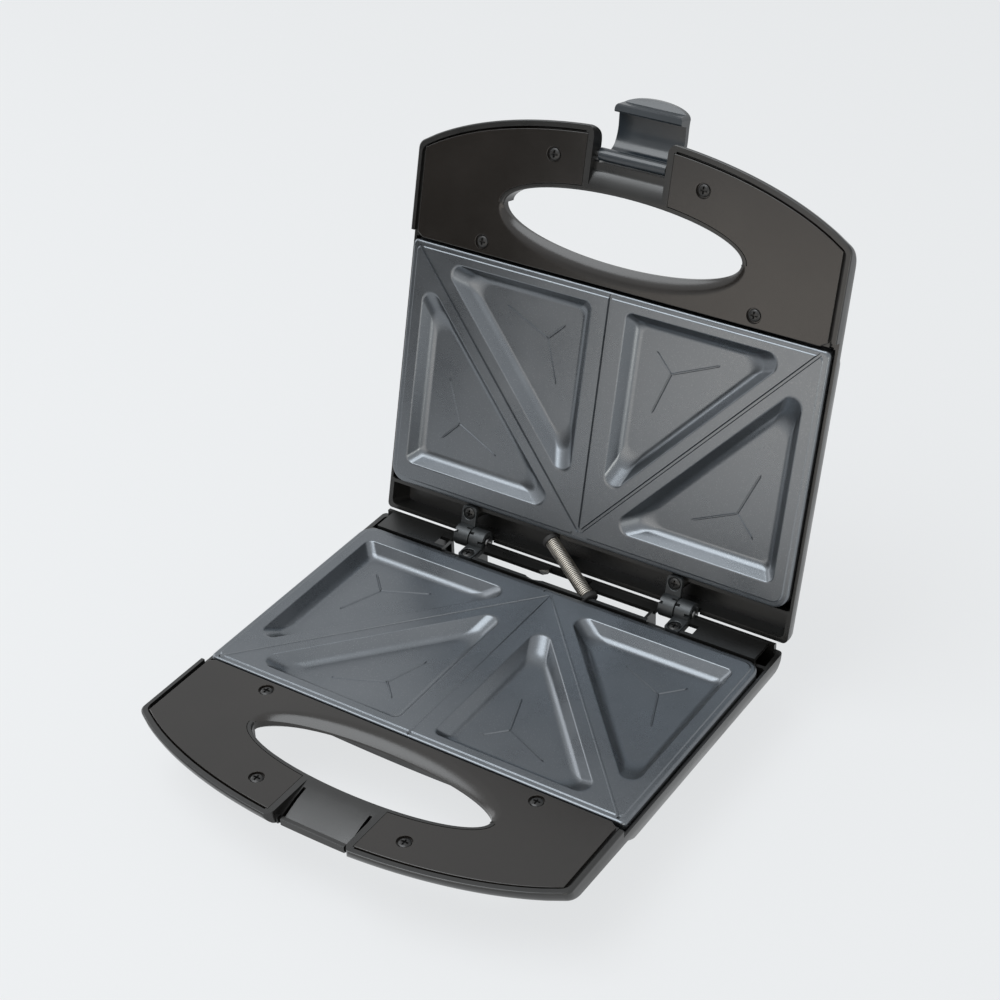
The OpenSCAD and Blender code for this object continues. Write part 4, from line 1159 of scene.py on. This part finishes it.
coil_inset = 0.0005
sleeve_radius = 0.0026
coil_length = (lid_end - base_end).length - 2 * coil_inset - coil_wire / 1000
coil_steps = 20
coil_count = int(coil_length / (coil_pitch / 1000) * coil_steps)
rings = []
for k in range(coil_count + 1):
    turn = tau * k / coil_steps
    outward = coil_side * cos(turn) + coil_up * sin(turn)
    around_way = coil_up * cos(turn) - coil_side * sin(turn)
    run = coil_inset + coil_wire / 2000 + coil_length * k / coil_count
    centre = base_end + coil_axis * run + outward * (conduit_radius - coil_wire / 2) / 1000
    rings.append(ring_round(centre, outward, around_way, coil_wire / 2000, 8))
coil = solid(rings)
rings = []
for k in range(41):
    run = coil_inset + ((lid_end - base_end).length - 2 * coil_inset) * k / 40
    rings.append(ring_round(base_end + coil_axis * run, coil_side, coil_axis, sleeve_radius, 28))
sleeve = solid(rings)
coil.data.materials.append(finishes["spring_steel"])
sleeve.data.materials.append(finishes["rubber"])
sleeve.data.polygons.foreach_set("material_index", [0] * len(sleeve.data.polygons))
bpy.ops.object.select_all(action="DESELECT")
coil.select_set(True)
sleeve.select_set(True)
bpy.context.view_layer.objects.active = coil
bpy.ops.object.join()
coil.data.shade_smooth()
coil.name = "wound_conduit"
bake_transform(coil)
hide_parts("spring_conduit")


# ---- Cord gland ----------------------------------------------
# A turned black rubber gland in the rear wall of the base, open for the supply cord.
gland_profile = [
    (3.1, -3.1), (4.0, -3.2), (4.1, -3), (4.1, 0.02), (5.0, 0.05), (5.35, 0.3), (5.4, 1.2),
    (5.2, 2.3), (4.7, 2.85), (4.1, 3), (3.4, 2.9), (3.1, 2.5),
]
gland_spot = Matrix.Translation((gland_x, rear_wall_y, gland_z))
gland_spot = gland_spot @ Matrix.Rotation(-pi / 2, 4, "X")
gland = turned(gland_profile, gland_spot, closed=True)
finished(gland, "rubber_cord_gland", "base", "rubber", "cord_gland")


# ---- Lamps ---------------------------------------------------
# Two clear coloured lenses, red for power and green for ready, stand a little proud of the lid
# over a moulded strip. Each is moulded with a shallow dome.
lens_profile = [
    (0.05, depth - 7), (3, depth - 7), (3, depth - 6), (lamp_radius, depth - 6),
    (lamp_radius, depth + 0.35), (3.8, depth + 0.62), (3.3, depth + 0.8), (2.4, depth + 0.93),
    (1.2, depth + 0.99), (0.05, depth + 1),
]
for node, slot, x, dark, light in (
    ("power_lamp", "red_lens", -lamp_x, (0.3, 0.006, 0.004), (0.5, 0.012, 0.008)),
    ("ready_lamp", "green_lens", lamp_x, (0.01, 0.2, 0.03), (0.02, 0.34, 0.05)),
):
    tree, skin = grained(slot, dark, light, 0.0006, 10, 0.06, 0.14, 0.000003)
    skin.inputs["Transmission Weight"].default_value = 0.45
    lens = turned(lens_profile, Matrix.Translation((x, lamp_y, 0)))
    finished(lens, f"domed_{node}", "lid", slot, node)


# ---- Latch ---------------------------------------------------
# A C-shaped plate of semi-gloss slate-black plastic turns on a steel pin in the notch of the lid.
# Its lip hooks under the catch of the base, and its thumb tab ends in a shallow arc.
latch_half = 17.25
tab_root = -20.2
tab_tip = -25.4
latch_pin = turned(
    [(0.05, -21.3), (1.3, -21.3), (1.5, -21.1), (1.5, 21.1), (1.3, 21.3), (0.05, 21.3)],
    along_x(0, latch_y, latch_z),
)
finished(latch_pin, "steel_latch_pin", "lid", "pin_steel", "latch_pin")
grained(
    "latch_plastic", (0.014, 0.019, 0.024), (0.024, 0.031, 0.038),
    0.0007, 25, 0.16, 0.26, 0.000008, 1.6,
)


def curve_through(points, steps=6):
    """A smooth open curve through the points."""
    points = [Vector(p) for p in points]
    ends = [2 * points[0] - points[1], *points, 2 * points[-1] - points[-2]]
    smooth = []
    for k in range(1, len(ends) - 2):
        a, b, c, d = ends[k - 1], ends[k], ends[k + 1], ends[k + 2]
        for j in range(steps):
            t = j / steps
            smooth.append(0.5 * (
                2 * b + (c - a) * t + (2 * a - 5 * b + 4 * c - d) * t * t
                + (3 * b - a - 3 * c + d) * t ** 3
            ))
    return smooth + [points[-1]]


outside = curve_through([
    (0, 3), (-7, 3), (-12.2, 1.2), (-15, -4), (-15.9, -10), (-15.5, -19.5), (-17.8, -28),
])
inside = curve_through([(-12.3, -17.6), (-13, -9.6), (-11.2, -3.2), (-7, -0.4), (-2.4, -1.8)])
lip = [(-17.6, -28.6), (-16.8, -28.9), (-15.9, -28.4), (-14.2, -24.4), (-13.3, -22.7)]
lip += [(-8.2, -22.3), (-7.5, -21.7), (-7.1, -19.3), (-7.6, -18.6)]
flipped = Matrix.Translation((0, latch_y, latch_z)) @ Matrix.Rotation(-pi / 2, 4, "X")
latch = profile_bar([*outside, *lip, *inside], latch_half)
latch = join(latch, rod(3, -latch_half, latch_half, along_x(0)))
tab_drop = tab_tip - 0.6 - tab_root
arc = [(latch_half + 0.5, 12), (-latch_half - 0.5, 12), (-latch_half - 0.5, tab_root)]
for t in [pi * k / 40 for k in range(1, 40)]:
    arc.append((-(latch_half + 0.02) * cos(t), tab_root + tab_drop * sin(t) ** 0.9))
arc.append((latch_half + 0.5, tab_root))
latch = clip(latch, solid([[(x, y, z) for x, z in arc] for y in (-30, 12)]))
latch = cut(latch, rod(screw_hole, -20, 20, along_x(0)))
latch.data.transform(flipped)
finished(latch, "curved_latch", "latch", "latch_plastic", "latch")


# ---- What stays as it was built ------------------------------
# The inner pieces keep their shape and only take their finish.
slots = {part["node"]: part["material_slot"] for part in frame["record"]["subparts"]}
for node in (
    "base_heating_element", "lid_heating_element", "base_heat_reflector", "lid_heat_reflector",
    "thermostat", "thermal_fuse", "terminal_block", "lamp_holder",
):
    mesh = frame["nodes"][node].data
    mesh.materials.clear()
    mesh.materials.append(finishes[slots[node]])
